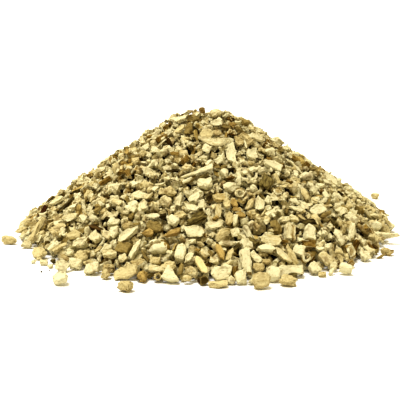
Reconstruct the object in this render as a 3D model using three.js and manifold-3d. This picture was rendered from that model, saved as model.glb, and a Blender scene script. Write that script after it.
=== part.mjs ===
// Cut, dried soapwort root poured out as one heap.
// Millimetres, +Z up, the front towards -Y. The origin is the centre of the heap's flat base.
import * as THREE from "three";
import { mergeVertices } from "three/addons/utils/BufferGeometryUtils.js";
import Module from "manifold-3d";

// The heap as a whole
const heapHeight = 53; // crown above the surface that it lies on
const footRadius = 86.5; // axis to where the slope runs out
const slopeRise = 0.733; // rise for each mm of run, the 36 degrees at which loose chips come to rest

// The packed mass under the top layer of chips
const coverDepth = 3; // how far the top layer stands above it
const packedSides = 24;
const packedRings = 6;

// The top layer of chips, fused to the packed mass
const coverChips = 130;
const coverReach = 80; // run of the outermost one on the slope
const coverSizeAtFoot = [10.6, 8.4, 6]; // length, width and thickness
const coverSizeAtCrown = [8.6, 7, 5.4];
const coverTilt = 40; // most that one leans out of the slope, degrees
const rimChips = 30; // lying round the foot
const rimRuns = [80, 86];
const rimSize = [9, 6.5, 5];

// The separate chips
const proud = 1.8; // how far a chip's flat side stands above the general surface
const gap = 0.3; // between a chip and the hollow that it lies in
const irregularity = 0.14; // how far a corner strays, as a share of the size
const floorDepth = 20; // of the block that cuts the heap off at its base

const colours = {
  pale: "#e9dda6",
  tan: "#cdb27a",
  brown: "#96703f",
  redBrown: "#8a5230",
  bark: "#5a4a36",
};

// A separate chip. Its bearing is measured at the axis, from the front towards the right, and its run is
// the distance from the axis. The size is length, width and thickness. The turn lifts the right-hand end
// of the length, the pitch stands the flat side up from the slope, and the bow bends the length sideways.
function chip(name, kind, bearing, run, size, differences = {}) {
  return { name, kind, bearing, run, size, colour: "pale", ...differences };
}

// The chips that stand out from the front
const frontChips = [
  chip("crown_knob", "lump", -26, 5, [3.2, 2.8, 2.8], { lift: 1, colour: "bark" }),
  chip("crown_lump", "lump", 50, 5.2, [8.2, 5, 4], { turn: 8 }),
  chip("crown_flake", "flake", -64, 13, [10, 4.6, 2.6], { turn: 30 }),
  chip("bark_edged_chip", "wedge", 84, 16, [4.6, 4, 3], { turn: -20, colour: "brown" }),
  chip("tan_leaf_flake", "leaf", -37.5, 19.6, [5.8, 3, 1.8], { turn: 54, pitch: 20, colour: "tan" }),
  chip("crown_disc", "leaf", -1, 21, [6, 4.2, 2], { turn: 4, pitch: 25, colour: "tan" }),
  chip("boat_flake", "leaf", 5.4, 26, [13.2, 4.2, 2], { turn: -3, pitch: 28, bow: 2 }),
  chip("upright_flake", "flake", 18, 31.2, [9.6, 4.4, 2], { turn: 84, pitch: 18 }),
  chip("notched_flake", "flake", 35.5, 32.4, [6.8, 5.4, 2.4], { turn: 30, pitch: 20 }),
  chip("folded_flake", "leaf", 43, 39.4, [8.8, 4.8, 2.4], { turn: -22, pitch: 12, bow: -1 }),
  chip("olive_bark", "bark", 31.5, 46.2, [7.2, 5.6, 2.4], { turn: 55, colour: "bark" }),
  chip("long_sliver", "stick", -6, 40.5, [13.4, 2.2, 1.8], { turn: 24, pitch: 20 }),
  chip("two_lobed_lump", "lump", -1, 45, [6.2, 4.8, 4], { turn: 10 }),
  chip("upper_leaf_flake", "leaf", -5.6, 52, [5.6, 3.2, 1.8], { turn: 36, pitch: 20 }),
  chip("lower_leaf_flake", "leaf", -6.2, 56.2, [6.4, 2.8, 1.8], { turn: -10, pitch: 20 }),
  chip("tan_almond", "leaf", 8, 54.5, [5, 2.8, 2.2], { turn: 84, pitch: 10, colour: "tan" }),
  chip("dark_bark_chip", "bark", -3.8, 60.6, [8.4, 3.8, 2.4], { turn: 28, pitch: 12, colour: "bark" }),
  chip("dark_root_end", "disc", -16.7, 60.2, [2.8, 2.8, 3.4], { pitch: 40, colour: "bark" }),
  chip("round_pale_lump", "lump", -12.5, 61.8, [5.4, 4.6, 3.6], { turn: -30 }),
  chip("ragged_flake", "flake", -4.5, 66, [8, 4.8, 2.2], { turn: -6, pitch: 22 }),
  chip("red_brown_sliver", "stick", -11.4, 67, [7.2, 2.6, 2], { turn: 22, colour: "redBrown" }),
  chip("big_pale_flake", "flake", -26, 69, [8.8, 4, 2.2], { turn: 38, pitch: 20 }),
  chip("brown_block", "block", -25.6, 74.2, [6.6, 4.6, 4], { pitch: 20, colour: "brown" }),
  chip("leaning_stick", "stick", -21.6, 74.8, [8.4, 2.4, 2.4], { turn: 78, pitch: 10 }),
  chip("cracked_lump", "lump", -15, 72.2, [8, 6.6, 4.6], { turn: 12 }),
  chip("oval_lump", "lump", -7.8, 74, [7.2, 4.2, 3.6], { turn: 88 }),
  chip("broad_tan_flake", "flake", -21, 84.4, [9.6, 5, 2.4], { turn: 26, pitch: 18, colour: "tan" }),
  chip("orange_knob", "lump", -16.6, 85.2, [3.8, 5, 4], { colour: "redBrown" }),
  chip("front_wedge", "wedge", -9.2, 83.6, [6.8, 5.4, 3.6], { pitch: 14 }),
  chip("yellow_almond", "leaf", -1.6, 79.2, [7.6, 3, 2.4], { turn: -62, pitch: 10, colour: "tan" }),
  chip("red_almond", "leaf", 3.8, 74, [7.6, 2.8, 2.4], { turn: -72, pitch: 10, colour: "redBrown" }),
  chip("front_block", "block", 3.8, 82.6, [7.6, 6, 3.6], { turn: 8, pitch: 26 }),
  chip("upright_stick", "stick", 10.6, 78, [10, 4, 3], { turn: 88, pitch: 14 }),
  chip("root_disc", "disc", 12.4, 91.4, [6.4, 6, 3.2], { pitch: 60, colour: "tan" }),
  chip("front_pale_lump", "lump", 16.8, 84.4, [6, 5, 3.6], { turn: 70 }),
  chip("overhanging_flake", "flake", 18.2, 73.5, [8, 4, 2.2], { turn: -8, pitch: -8 }),
  chip("striped_block", "block", 28.2, 68, [7.8, 4.6, 3.6], { turn: 70, pitch: 16 }),
  chip("pale_block", "block", 35, 70, [7, 4.6, 3.6], { turn: 66, pitch: 16 }),
  chip("round_stick", "stick", 52.5, 74, [9.6, 2.6, 2.6], { turn: 50, pitch: 34 }),
  chip("bell_knob", "lump", 71, 77, [3.8, 3.8, 4]),
  chip("frayed_flake", "flake", 68.8, 82, [9, 3.8, 1.8], { turn: -80, pitch: -36 }),
  chip("spotted_knob", "lump", 60, 79.6, [4.2, 4.8, 3.6], { colour: "tan" }),
  chip("right_wedge", "wedge", 36, 89.6, [5.4, 4, 3.4], { turn: -34, pitch: 24 }),
  chip("long_stick", "stick", -66, 78.4, [13.4, 2.4, 2.2], { turn: 116, pitch: 16, bow: 0.8, colour: "tan" }),
  chip("tan_lump", "lump", -53, 85.2, [8, 4.8, 3.2], { colour: "tan" }),
  chip("front_left_flake", "flake", -32.6, 101, [6.8, 5.4, 2.6], { turn: 10, pitch: 25 }),
  chip("dark_bark_strip", "bark", -68, 65.4, [8.8, 2.6, 2.2], { turn: 104, colour: "bark" }),
  chip("arched_flake", "leaf", -78.5, 67.4, [9.4, 4.2, 1.8], { turn: 50 }),
];

// The chips that came to rest beside the heap
const strayChips = [
  chip("kidney_stray", "leaf", -69.6, 90.2, [6.6, 3.8, 3.2], { turn: 50, bow: 0.8, colour: "tan" }),
  chip("front_stray", "lump", -17.6, 97.2, [5.4, 4.4, 4], { colour: "tan" }),
  chip("back_stray", "lump", 122.4, 102.4, [4.6, 3.4, 3], { colour: "tan" }),
];

// Larger chips spread round the sides and the back by one rule, one of each kind
const backBearings = [98, 264]; // first and last
const backRuns = [32, 74]; // nearest to the axis and furthest, in turn
const backSize = [8, 5, 3.4];

const wasm = await Module();
wasm.setup();

// The slope is a hyperbola turned about the axis: straight below, rounded at the crown.
const crownRun = heapHeight / slopeRise;
const footRun = (footRadius * footRadius) / crownRun;
const straightReach = (footRun + crownRun) / 2;
const crownRounding = (footRun - crownRun) / 2;

function surfaceHeight(run) {
  return Math.max(slopeRise * (straightReach - Math.hypot(run, crownRounding)), 0);
}

function slopeAngle(run) {
  return run < footRadius ? Math.atan((slopeRise * run) / Math.hypot(run, crownRounding)) : 0;
}

function seededRandom(seed) {
  let state = seed;
  return (low = 0, high = 1) => {
    state = (Math.imul(state, 1664525) + 1013904223) >>> 0;
    return low + ((high - low) * state) / 2 ** 32;
  };
}

function joinedVertices(geometry) {
  geometry.deleteAttribute("normal");
  geometry.deleteAttribute("uv");
  return mergeVertices(geometry, 1e-4);
}

function solidOf(geometry) {
  const vertProperties = geometry.attributes.position.array;
  const triVerts = geometry.index.array;
  return new wasm.Manifold(new wasm.Mesh({ numProp: 3, vertProperties, triVerts }));
}

function geometryOf(solid) {
  const { vertProperties, triVerts } = solid.getMesh();
  const geometry = new THREE.BufferGeometry();
  geometry.setAttribute("position", new THREE.BufferAttribute(vertProperties, 3));
  return geometry.setIndex(new THREE.BufferAttribute(triVerts, 1));
}

// Corners on a circle, which `pointed` draws in towards the two ends of a leaf.
function outline(corners, random, pointed = 0) {
  const points = [];
  for (let i = 0; i < corners; i++) {
    const angle = ((i + random(-0.2, 0.2)) / corners) * 2 * Math.PI;
    const side = Math.sin(angle) * Math.abs(Math.sin(angle)) ** pointed;
    points.push(new THREE.Vector2(Math.cos(angle), side).multiplyScalar(random(0.85, 1)));
  }
  return new THREE.Shape(points);
}

// The cross-section of a piece of bark, an arch
function barkSection() {
  const shape = new THREE.Shape();
  shape.absarc(0, 0, 1, 0.15 * Math.PI, 0.85 * Math.PI, false);
  shape.absarc(0, 0, 0.6, 0.85 * Math.PI, 0.15 * Math.PI, true);
  return shape;
}

// Half the section of a root's rounded end
function rootEndProfile() {
  const corners = [[0, 0], [0.8, 0], [1, 0.3], [0.95, 1], [0.6, 1.25], [0, 1.35]];
  return corners.map(([x, y]) => new THREE.Vector2(x, y));
}

function slab(shape) {
  const settings = { depth: 1, bevelThickness: 0.2, bevelSize: 0.1, bevelSegments: 1 };
  return new THREE.ExtrudeGeometry(shape, settings);
}

function bar(shape, steps, curveSegments) {
  const settings = { depth: 1, steps, curveSegments, bevelEnabled: false };
  return new THREE.ExtrudeGeometry(shape, settings).rotateX(Math.PI / 2).rotateZ(Math.PI / 2);
}

// Each kind of chip at no special size, its length along X and its flat side towards Z
const chipKinds = {
  lump: () => new THREE.DodecahedronGeometry(1),
  wedge: (random) => slab(outline(3, random)),
  block: (random) => slab(outline(4, random)).rotateZ(Math.PI / 4),
  flake: (random) => slab(outline(7, random)),
  leaf: (random) => slab(outline(6, random, 0.7)),
  disc: () => new THREE.LatheGeometry(rootEndProfile(), 8).rotateX(Math.PI / 2),
  stick: (random) => bar(outline(5, random), 3),
  bark: () => bar(barkSection(), 2, 4),
  shard: (random) => bar(outline(3, random), 1),
  chunk: (random) => bar(outline(4, random), 1),
};

// A chip about its own centre, brought to its size, with its corners moved and its ends bowed sideways
function chipGeometry({ kind, size, bow = 0 }, random) {
  const geometry = joinedVertices(chipKinds[kind](random));
  geometry.computeBoundingBox();
  const extent = geometry.boundingBox.getSize(new THREE.Vector3());
  geometry.center().scale(1 / extent.x, 1 / extent.y, 1 / extent.z);
  const corner = new THREE.Vector3();
  const position = geometry.attributes.position;
  for (let i = 0; i < position.count; i++) {
    corner.fromBufferAttribute(position, i);
    const sideways = bow * 4 * corner.x * corner.x;
    corner.x += random(-irregularity, irregularity) / 2;
    corner.y += random(-irregularity, irregularity) / 2;
    corner.z += random(-irregularity, irregularity) / 2;
    corner.multiply(new THREE.Vector3(...size));
    position.setXYZ(i, corner.x, corner.y + sideways, corner.z);
  }
  return geometry;
}

// Where a chip lies: flat on the slope, then turned in it and pitched out of it
function restingPlace({ bearing, run, size, turn = 0, pitch = 0, lift = 0 }) {
  const slope = slopeAngle(run);
  const above = proud + lift - size[2] / 2;
  const distance = run + above * Math.sin(slope);
  const height = surfaceHeight(run) + above * Math.cos(slope);
  return new THREE.Matrix4()
    .makeRotationZ(THREE.MathUtils.degToRad(bearing))
    .multiply(new THREE.Matrix4().makeTranslation(0, -distance, height))
    .multiply(new THREE.Matrix4().makeRotationX(slope + THREE.MathUtils.degToRad(pitch)))
    .multiply(new THREE.Matrix4().makeRotationZ(THREE.MathUtils.degToRad(turn)));
}

// The hollow that a chip lies in, a box let out all round by the gap
function hollowGeometry({ size, bow = 0 }) {
  const [length, width, thickness] = size.map((side) => side * (1 + irregularity) + 2 * gap);
  const box = new THREE.BoxGeometry(length, width + Math.abs(bow), thickness);
  return joinedVertices(box.translate(0, bow / 2, 0));
}

// The solid of a chip where it rests, raised if it would reach below the base, and its hollow
function placeChip(separate, seed) {
  const place = restingPlace(separate);
  const geometry = chipGeometry(separate, seededRandom(seed)).applyMatrix4(place);
  const hollow = hollowGeometry(separate).applyMatrix4(place);
  geometry.computeBoundingBox();
  const lowest = geometry.boundingBox.min.z;
  if (lowest < 0 || separate.run > footRadius) {
    geometry.translate(0, 0, -lowest);
    hollow.translate(0, 0, -lowest);
  }
  return { geometry, hollow };
}

function packedMass() {
  const reach = Math.sqrt((straightReach - coverDepth / slopeRise) ** 2 - crownRounding ** 2);
  const profile = [new THREE.Vector2(0, 0)];
  for (let i = packedRings; i >= 0; i--) {
    const run = (reach * i) / packedRings;
    profile.push(new THREE.Vector2(run, i === packedRings ? 0 : surfaceHeight(run) - coverDepth));
  }
  return joinedVertices(new THREE.LatheGeometry(profile, packedSides).rotateX(Math.PI / 2));
}

// The chips of the top layer follow a sunflower's spiral, each with a size and tilt of its own.
function coverChip(index, random) {
  const run = coverReach * Math.sqrt((index + 0.5) / coverChips);
  const share = run / coverReach;
  const scale = random(0.8, 1.2);
  return {
    kind: index % 4 === 0 ? "chunk" : "shard",
    bearing: index * 137.508 + random(-3, 3),
    run,
    size: coverSizeAtCrown.map((size, i) => scale * (size + (coverSizeAtFoot[i] - size) * share)),
    turn: random(0, 360),
    pitch: random(-coverTilt, coverTilt),
    lift: random(-0.4, 0.4),
  };
}

// The chips that ran down to the foot lie side by side round it.
function rimChip(index, random) {
  return {
    kind: index % 2 === 0 ? "chunk" : "shard",
    bearing: ((index + random(-0.35, 0.35)) * 360) / rimChips,
    run: random(...rimRuns),
    size: rimSize.map((size) => size * random(0.8, 1.25)),
    turn: random(0, 360),
    pitch: random(-30, 0),
  };
}

function heapSolid(hollows) {
  const random = seededRandom(11);
  let heap = solidOf(packedMass());
  for (let i = 0; i < coverChips + rimChips; i++) {
    const fused = i < coverChips ? coverChip(i, random) : rimChip(i - coverChips, random);
    heap = heap.add(solidOf(chipGeometry(fused, random).applyMatrix4(restingPlace(fused))));
  }
  for (const hollow of hollows) {
    heap = heap.subtract(solidOf(hollow));
  }
  const below = new THREE.BoxGeometry(4 * footRadius, 4 * footRadius, floorDepth);
  heap = heap.subtract(solidOf(joinedVertices(below.translate(0, 0, -floorDepth / 2))));
  // Corners of chips that a hollow has cut loose are left out.
  const pieces = heap.decompose();
  return pieces.reduce((largest, piece) => (piece.volume() > largest.volume() ? piece : largest));
}

function backChips() {
  const kinds = ["flake", "stick", "lump", "bark", "wedge", "leaf", "block", "disc"];
  const step = (backBearings[1] - backBearings[0]) / (kinds.length - 1);
  return kinds.map((kind, i) => {
    const bearing = backBearings[0] + i * step;
    const colour = kind === "bark" ? "bark" : "pale";
    const lie = { turn: i * 50, pitch: 15, colour };
    return chip(`back_${kind}`, kind, bearing, backRuns[i % 2], backSize, lie);
  });
}

function chipMesh(name, geometry, colour) {
  const finish = { color: colour, roughness: 0.9, metalness: 0, flatShading: true };
  const material = new THREE.MeshStandardMaterial(finish);
  const mesh = new THREE.Mesh(geometry, material);
  mesh.name = name;
  return mesh;
}

const soapwortRoot = new THREE.Group();
const hollows = [];
for (const [index, separate] of [...frontChips, ...strayChips, ...backChips()].entries()) {
  const { geometry, hollow } = placeChip(separate, index + 1);
  hollows.push(hollow);
  soapwortRoot.add(chipMesh(separate.name, geometry, colours[separate.colour]));
}
soapwortRoot.add(chipMesh("heap", geometryOf(heapSolid(hollows)), colours.pale));

export default soapwortRoot;
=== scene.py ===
import math

import bmesh
import bpy
import numpy as np
from mathutils import Matrix, Vector, geometry, noise


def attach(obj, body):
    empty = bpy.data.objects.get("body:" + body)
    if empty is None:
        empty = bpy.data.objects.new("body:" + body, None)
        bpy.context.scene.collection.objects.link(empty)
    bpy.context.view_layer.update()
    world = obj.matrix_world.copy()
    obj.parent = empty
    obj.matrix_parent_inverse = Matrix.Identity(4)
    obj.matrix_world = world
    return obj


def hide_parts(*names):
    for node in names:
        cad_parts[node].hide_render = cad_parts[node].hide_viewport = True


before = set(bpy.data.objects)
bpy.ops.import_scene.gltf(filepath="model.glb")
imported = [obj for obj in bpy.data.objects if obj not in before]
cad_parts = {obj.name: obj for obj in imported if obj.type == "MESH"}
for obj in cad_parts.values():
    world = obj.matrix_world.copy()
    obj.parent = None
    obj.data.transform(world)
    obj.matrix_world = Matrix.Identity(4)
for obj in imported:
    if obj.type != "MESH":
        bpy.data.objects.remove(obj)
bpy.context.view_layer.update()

# A heap of cut, dried soapwort root. Metres, +Z up, the front towards -Y, the origin under the crown.
mm = 0.001


# The heap's slope, a hyperbola turned about the axis like the one of the solids
heapForm = {
    "height": 53 * mm,
    "footRadius": 86.5 * mm,
    "slopeRise": 0.733,
    "waviness": 1.0 * mm,
    "waves": ((0.0093, 1.3), (0.0081, 0.4), (0.0147, 2.1)),   # length and start: across, along, slantwise
    "calmCrown": 20 * mm,         # how far out the waves grow to their full height
    "fullness": 0.9 * mm,         # how far the loose chips stand above the solids' slope
    "rimHeight": 3.6 * mm,
    "footRipple": 0.7 * mm,
    "footRipples": 23,            # in one turn round the foot
    "looseLayer": 6.0 * mm,       # of chips modelled in full, over plainer ones
    "shownLayer": 3.0 * mm,       # of the finest chips, on top
    "crumbsFrom": 10 * mm,        # crumbs lie between the chips where the slope is higher than this
    "crumbDepth": 0.8 * mm,       # of the highest of them, below the slope
}
# How far the chips have run out at the foot in mm, by bearing from the front towards the right
footLine = {
    -180: 86.5, -90: 86.5, -75: 86, -54: 88, -43: 90, -37: 87, -30: 88.5, -24: 87.5, -15: 85, -5: 83.5,
    -1: 85.5, 2: 91, 8: 89.5, 12: 92, 18: 94, 23: 88, 26: 86, 31: 89, 35: 87, 40: 88.5, 50: 86.5, 70: 84,
    90: 84, 102: 82, 120: 84, 180: 86.5,
}
crownRun = heapForm["height"] / heapForm["slopeRise"]
footRun = heapForm["footRadius"] ** 2 / crownRun
straightReach = (footRun + crownRun) / 2
crownRounding = (footRun - crownRun) / 2


def slopeHeight(x, y):
    run = np.hypot(x, y)
    ways = zip((x, y, x + y), heapForm["waves"])
    across, along, slantwise = [np.sin(way / length + start) for way, (length, start) in ways]
    smooth = heapForm["slopeRise"] * (straightReach - np.hypot(run, crownRounding))
    calmed = np.clip(run / heapForm["calmCrown"], 0, 1)
    return smooth + heapForm["waviness"] / 2 * (across * along + slantwise) * calmed


# Axes of the slope at a place: to the right as seen from outside, up the slope, and out of it
def slopeAxes(x, y):
    run = math.hypot(x, y)
    onSlope = run < heapForm["footRadius"]
    fall = heapForm["slopeRise"] * run / math.hypot(run, crownRounding) if onSlope else 0
    outward = Vector((x, y, 0)).normalized() if run > 0 else Vector((0, -1, 0))
    out = (Vector((0, 0, 1)) + outward * fall).normalized()
    right = Vector((0, 0, 1)).cross(outward).normalized()
    return Matrix((right, out.cross(right), out)).transposed()


# Shapes of chips, each about a unit long along X with its flat side towards Z. Detail is 0 for a chip that
# others lie on, 1 for one in sight, and 2 for a curl, strip, end or splinter that is placed one by one.
# A form gives ranges to choose from, as shares of the length. Unevenness and grain have a depth and a size,
# bend has a bow and a twist.
noise.seed_set(3)
noiseReach = 40      # a shape takes its unevenness from anywhere within this


# A shape carries a skin mark on its faces and a shade mark on its corners: painted shade in pits, cracks,
# holes and hollows, and the darker rings of cut ends
def newShape():
    bm = bmesh.new()
    bm.faces.layers.float.new("skin")
    bm.verts.layers.float.new("shade")
    return bm


def paintSkin(bm, faces):
    skin = bm.faces.layers.float["skin"]
    for face in faces:
        face[skin] = 1.0


def roughen(bm, rng, depth, size):
    start = Vector(rng.uniform(-noiseReach, noiseReach, 3))
    for vert in bm.verts:
        vert.co += noise.noise_vector(vert.co / size + start) * depth


def stretch(bm, x, y, z):
    bmesh.ops.scale(bm, vec=(x, y, z), verts=bm.verts[:])


def narrow(bm, rng, form):
    stretch(bm, 1, rng.uniform(*form["width"]), rng.uniform(*form["thickness"]))


def moveCorners(bm, rng, most):
    for vert in bm.verts:
        vert.co += Vector(rng.uniform(-most, most, 3))


def anyDirection(rng):
    return Vector(rng.normal(size=3)).normalized()


def levelDirection(degrees):
    return Vector((math.cos(math.radians(degrees)), math.sin(math.radians(degrees)), 0))


def allParts(bm):
    return bm.verts[:] + bm.edges[:] + bm.faces[:]


def endFaces(bm):
    return [face for face in bm.faces if abs(face.normal.x) > 0.9]


def cutFacet(bm, normal, distance):
    cut = bmesh.ops.bisect_plane(
        bm, geom=allParts(bm), plane_co=normal * distance, plane_no=normal, clear_outer=True
    )
    rim = [part for part in cut["geom_cut"] if isinstance(part, bmesh.types.BMEdge)]
    bmesh.ops.holes_fill(bm, edges=rim)


# A side pressed flat, down to a share of how far the shape reaches that way
def flatten(bm, direction, share):
    limit = max(vert.co.dot(direction) for vert in bm.verts) * share
    for vert in bm.verts:
        vert.co -= direction * max(vert.co.dot(direction) - limit, 0)


def sliceAcross(bm, places, slant=0.0, rng=None):
    for place in places:
        tilt = rng.uniform(-slant, slant, 2) if slant else (0, 0)
        bmesh.ops.bisect_plane(bm, geom=allParts(bm), plane_co=(place, 0, 0), plane_no=(1, *tilt))


# A pit or a hole, its bottom darkened with painted shade
def dent(bm, direction, depth, breadth):
    shade = bm.verts.layers.float["shade"]
    for vert in bm.verts:
        inside = (vert.co.normalized().dot(direction) - 1 + breadth) / breadth
        if inside > 0:
            vert.co *= 1 - depth * inside
            vert[shade] = max(vert[shade], depth * inside)


crackForm = {"depth": 0.2, "breadth": 0.08, "wandering": 0.06, "waves": 9}
holeForm = {"depth": 0.7, "breadth": 0.06}


# A crack in the flat side, at a place along a direction, that wanders a little, darkened with painted shade
def crackOpen(bm, direction, place):
    shade = bm.verts.layers.float["shade"]
    for vert in bm.verts:
        wandering = crackForm["wandering"] * noise.noise(vert.co * crackForm["waves"])
        inside = 1 - abs(vert.co.dot(direction) - place - wandering) / crackForm["breadth"]
        if inside > 0 and vert.co.z > 0:
            vert.co.z -= crackForm["depth"] * inside
            vert[shade] = max(vert[shade], inside)


def bend(bm, bow, twist=0.0, stillAt=0.08):
    for vert in bm.verts:
        vert.co.z += bow * (vert.co.x ** 2 - stillAt)
        vert.co.yz = Matrix.Rotation(twist * vert.co.x, 2) @ vert.co.yz


def bendAnyhow(bm, rng, bow, twist=0.0):
    bend(bm, rng.uniform(-bow, bow), rng.uniform(-twist, twist) if twist else 0.0)


# Dried out of shape
def warp(bm, rng, form):
    roughen(bm, rng, *form["unevenness"])
    bendAnyhow(bm, rng, *form["bend"])


# How far an outline reaches, all the way round from its middle. Its corners lie between -1 and 1.
def outlineReach(corners, step=5, beyond=4, middle=0.5):
    turns = np.radians(np.arange(-180, 181, step))
    reaches = []
    for turn in turns:
        ray = beyond * Vector((math.cos(turn), math.sin(turn)))
        sides = zip(corners, (*corners[1:], corners[0]))
        hits = [geometry.intersect_line_line_2d((0, 0), ray, first, second) for first, second in sides]
        reaches.append(max((hit.length for hit in hits if hit), default=middle))
    return turns, reaches


def turnAboutY(bm):
    bmesh.ops.rotate(bm, verts=bm.verts[:], matrix=Matrix.Rotation(math.pi / 2, 3, "Y"))


lumpForm = {
    "radius": 0.52, "unevenness": (0.37, 0.45), "grain": (0.11, 0.2), "pit": (0.1, 0.45), "pitBreadth": 0.4,
    "facets": (5, 9), "pressed": (0.55, 0.85), "width": (0.7, 0.95), "thickness": (0.5, 0.8),
}


def pithLump(rng, detail):
    bm = newShape()
    bmesh.ops.create_icosphere(bm, subdivisions=2 + detail, radius=lumpForm["radius"])
    roughen(bm, rng, *lumpForm["unevenness"])
    # A pit in the lump, darkened with painted shade
    dent(bm, anyDirection(rng), rng.uniform(*lumpForm["pit"]), lumpForm["pitBreadth"])
    for _ in range(rng.integers(*lumpForm["facets"])):
        flatten(bm, anyDirection(rng), rng.uniform(*lumpForm["pressed"]))
    narrow(bm, rng, lumpForm)
    if detail:
        roughen(bm, rng, *lumpForm["grain"])
    return bm


blockForm = {
    "cube": 0.86, "askew": 0.18, "unevenness": (0.25, 0.38), "grain": (0.08, 0.16), "cutsMade": 2,
    "cutAt": (0.34, 0.46), "width": (0.6, 0.9), "thickness": (0.5, 0.75),
}


def cutBlock(rng, detail):
    bm = newShape()
    bmesh.ops.create_cube(bm, size=blockForm["cube"])
    moveCorners(bm, rng, blockForm["askew"])
    bmesh.ops.subdivide_edges(bm, edges=bm.edges[:], cuts=(1, 3)[detail], use_grid_fill=True)
    roughen(bm, rng, *blockForm["unevenness"])
    for _ in range(blockForm["cutsMade"]):
        cutFacet(bm, anyDirection(rng), rng.uniform(*blockForm["cutAt"]))
    narrow(bm, rng, blockForm)
    if detail:
        roughen(bm, rng, *blockForm["grain"])
    return bm


chunkForm = {
    "width": (0.55, 0.85), "taper": (0.25, 0.5), "endsSplit": (-0.2, 0.15), "endsTorn": (0.8, 1.06),
    "ridges": (0.6, 1.1), "sliced": 0.6, "slant": 0.3, "thickness": (0.5, 0.8), "unevenness": (0.2, 0.32),
    "grain": (0.05, 0.12), "bend": (0.3, 0.3),
}


# Wood split along its fibres, ridged along its length and torn at both ends
def splitChunk(rng, detail):
    bm = newShape()
    sides, slices = ((7, 2), (10, 3))[detail]
    width = rng.uniform(*chunkForm["width"])
    farEnd = width * rng.uniform(*chunkForm["taper"])
    bmesh.ops.create_cone(bm, cap_ends=True, segments=sides, radius1=width / 2, radius2=farEnd, depth=1)
    turnAboutY(bm)
    bmesh.ops.poke(bm, faces=endFaces(bm), offset=rng.uniform(*chunkForm["endsSplit"]))
    ridges = rng.uniform(*chunkForm["ridges"], size=sides)
    for vert in bm.verts:
        side = int(round(math.atan2(vert.co.z, vert.co.y) / (2 * math.pi) * sides)) % sides
        vert.co.yz *= ridges[side]
        vert.co.x *= rng.uniform(*chunkForm["endsTorn"])
    places = [chunkForm["sliced"] * (i / slices - 0.5) for i in range(slices)]
    sliceAcross(bm, places, chunkForm["slant"], rng)
    stretch(bm, 1, 1, rng.uniform(*chunkForm["thickness"]))
    roughen(bm, rng, *chunkForm["unevenness"])
    if detail:
        roughen(bm, rng, *chunkForm["grain"])
    bendAnyhow(bm, rng, *chunkForm["bend"])
    return bm


# A slab with the outline that the mesh so far has as one face, its broad sides raised a little
def slabOf(bm, thickness, crown, rim=0.11):
    raised = bmesh.ops.extrude_face_region(bm, geom=bm.faces[:])["geom"]
    lifted = [part for part in raised if isinstance(part, bmesh.types.BMVert)]
    bmesh.ops.translate(bm, vec=(0, 0, thickness), verts=lifted)
    bmesh.ops.recalc_face_normals(bm, faces=bm.faces[:])
    caps = [face for face in bm.faces if abs(face.normal.z) > 0.9]
    bmesh.ops.inset_individual(bm, faces=caps, thickness=rim, depth=crown)
    bmesh.ops.poke(bm, faces=[face for face in bm.faces if len(face.verts) > 4])
    bmesh.ops.translate(bm, vec=(0, 0, -thickness / 2), verts=bm.verts[:])


flakeForm = {
    "edge": (0.7, 1.1), "width": (0.6, 0.9), "thickness": (0.18, 0.36), "crown": (0.0, 0.05),
    "unevenness": (0.19, 0.28), "bend": (0.6, 0.6),
}


def brokenFlake(rng, detail):
    bm = newShape()
    bmesh.ops.create_circle(bm, cap_ends=True, segments=(9, 17)[detail], radius=0.5)
    for vert in bm.verts:
        vert.co *= rng.uniform(*flakeForm["edge"])
    stretch(bm, 1, rng.uniform(*flakeForm["width"]), 1)
    slabOf(bm, rng.uniform(*flakeForm["thickness"]), rng.uniform(*flakeForm["crown"]))
    warp(bm, rng, flakeForm)
    return bm


leafForm = {
    "width": (0.45, 0.7), "pointedness": 0.5, "edge": 0.05, "thickness": (0.1, 0.18), "crown": (0.02, 0.06),
    "unevenness": (0.13, 0.24), "bend": (0.8, 0.8),
}


def leafFlake(rng, detail):
    bm = newShape()
    bmesh.ops.create_circle(bm, cap_ends=True, segments=(8, 15)[detail], radius=0.5)
    breadth = rng.uniform(*leafForm["width"])
    for vert in bm.verts:
        side = math.sqrt(max(0.5 ** 2 - vert.co.x ** 2, 0)) * 2
        vert.co.y *= breadth * side ** leafForm["pointedness"]
        vert.co += Vector((*rng.uniform(-leafForm["edge"], leafForm["edge"], 2), 0))
    slabOf(bm, rng.uniform(*leafForm["thickness"]), rng.uniform(*leafForm["crown"]))
    warp(bm, rng, leafForm)
    return bm


# A length of root, its ends and its unevenness as shares of its width
rootForm = {
    "rings": 2, "ringBreadth": 0.1, "ringStep": 0.03, "hollow": (-0.25, 0.1), "slant": 0.2,
    "unevenness": (0.32, 0.5), "endShade": 0.5, "pithShade": 0.1, "hollowShade": 0.7,
    "sliceWidth": 0.95, "sliceLength": (0.35, 0.6), "stickWidth": (0.28, 0.44), "stickBow": 0.45,
}


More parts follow.
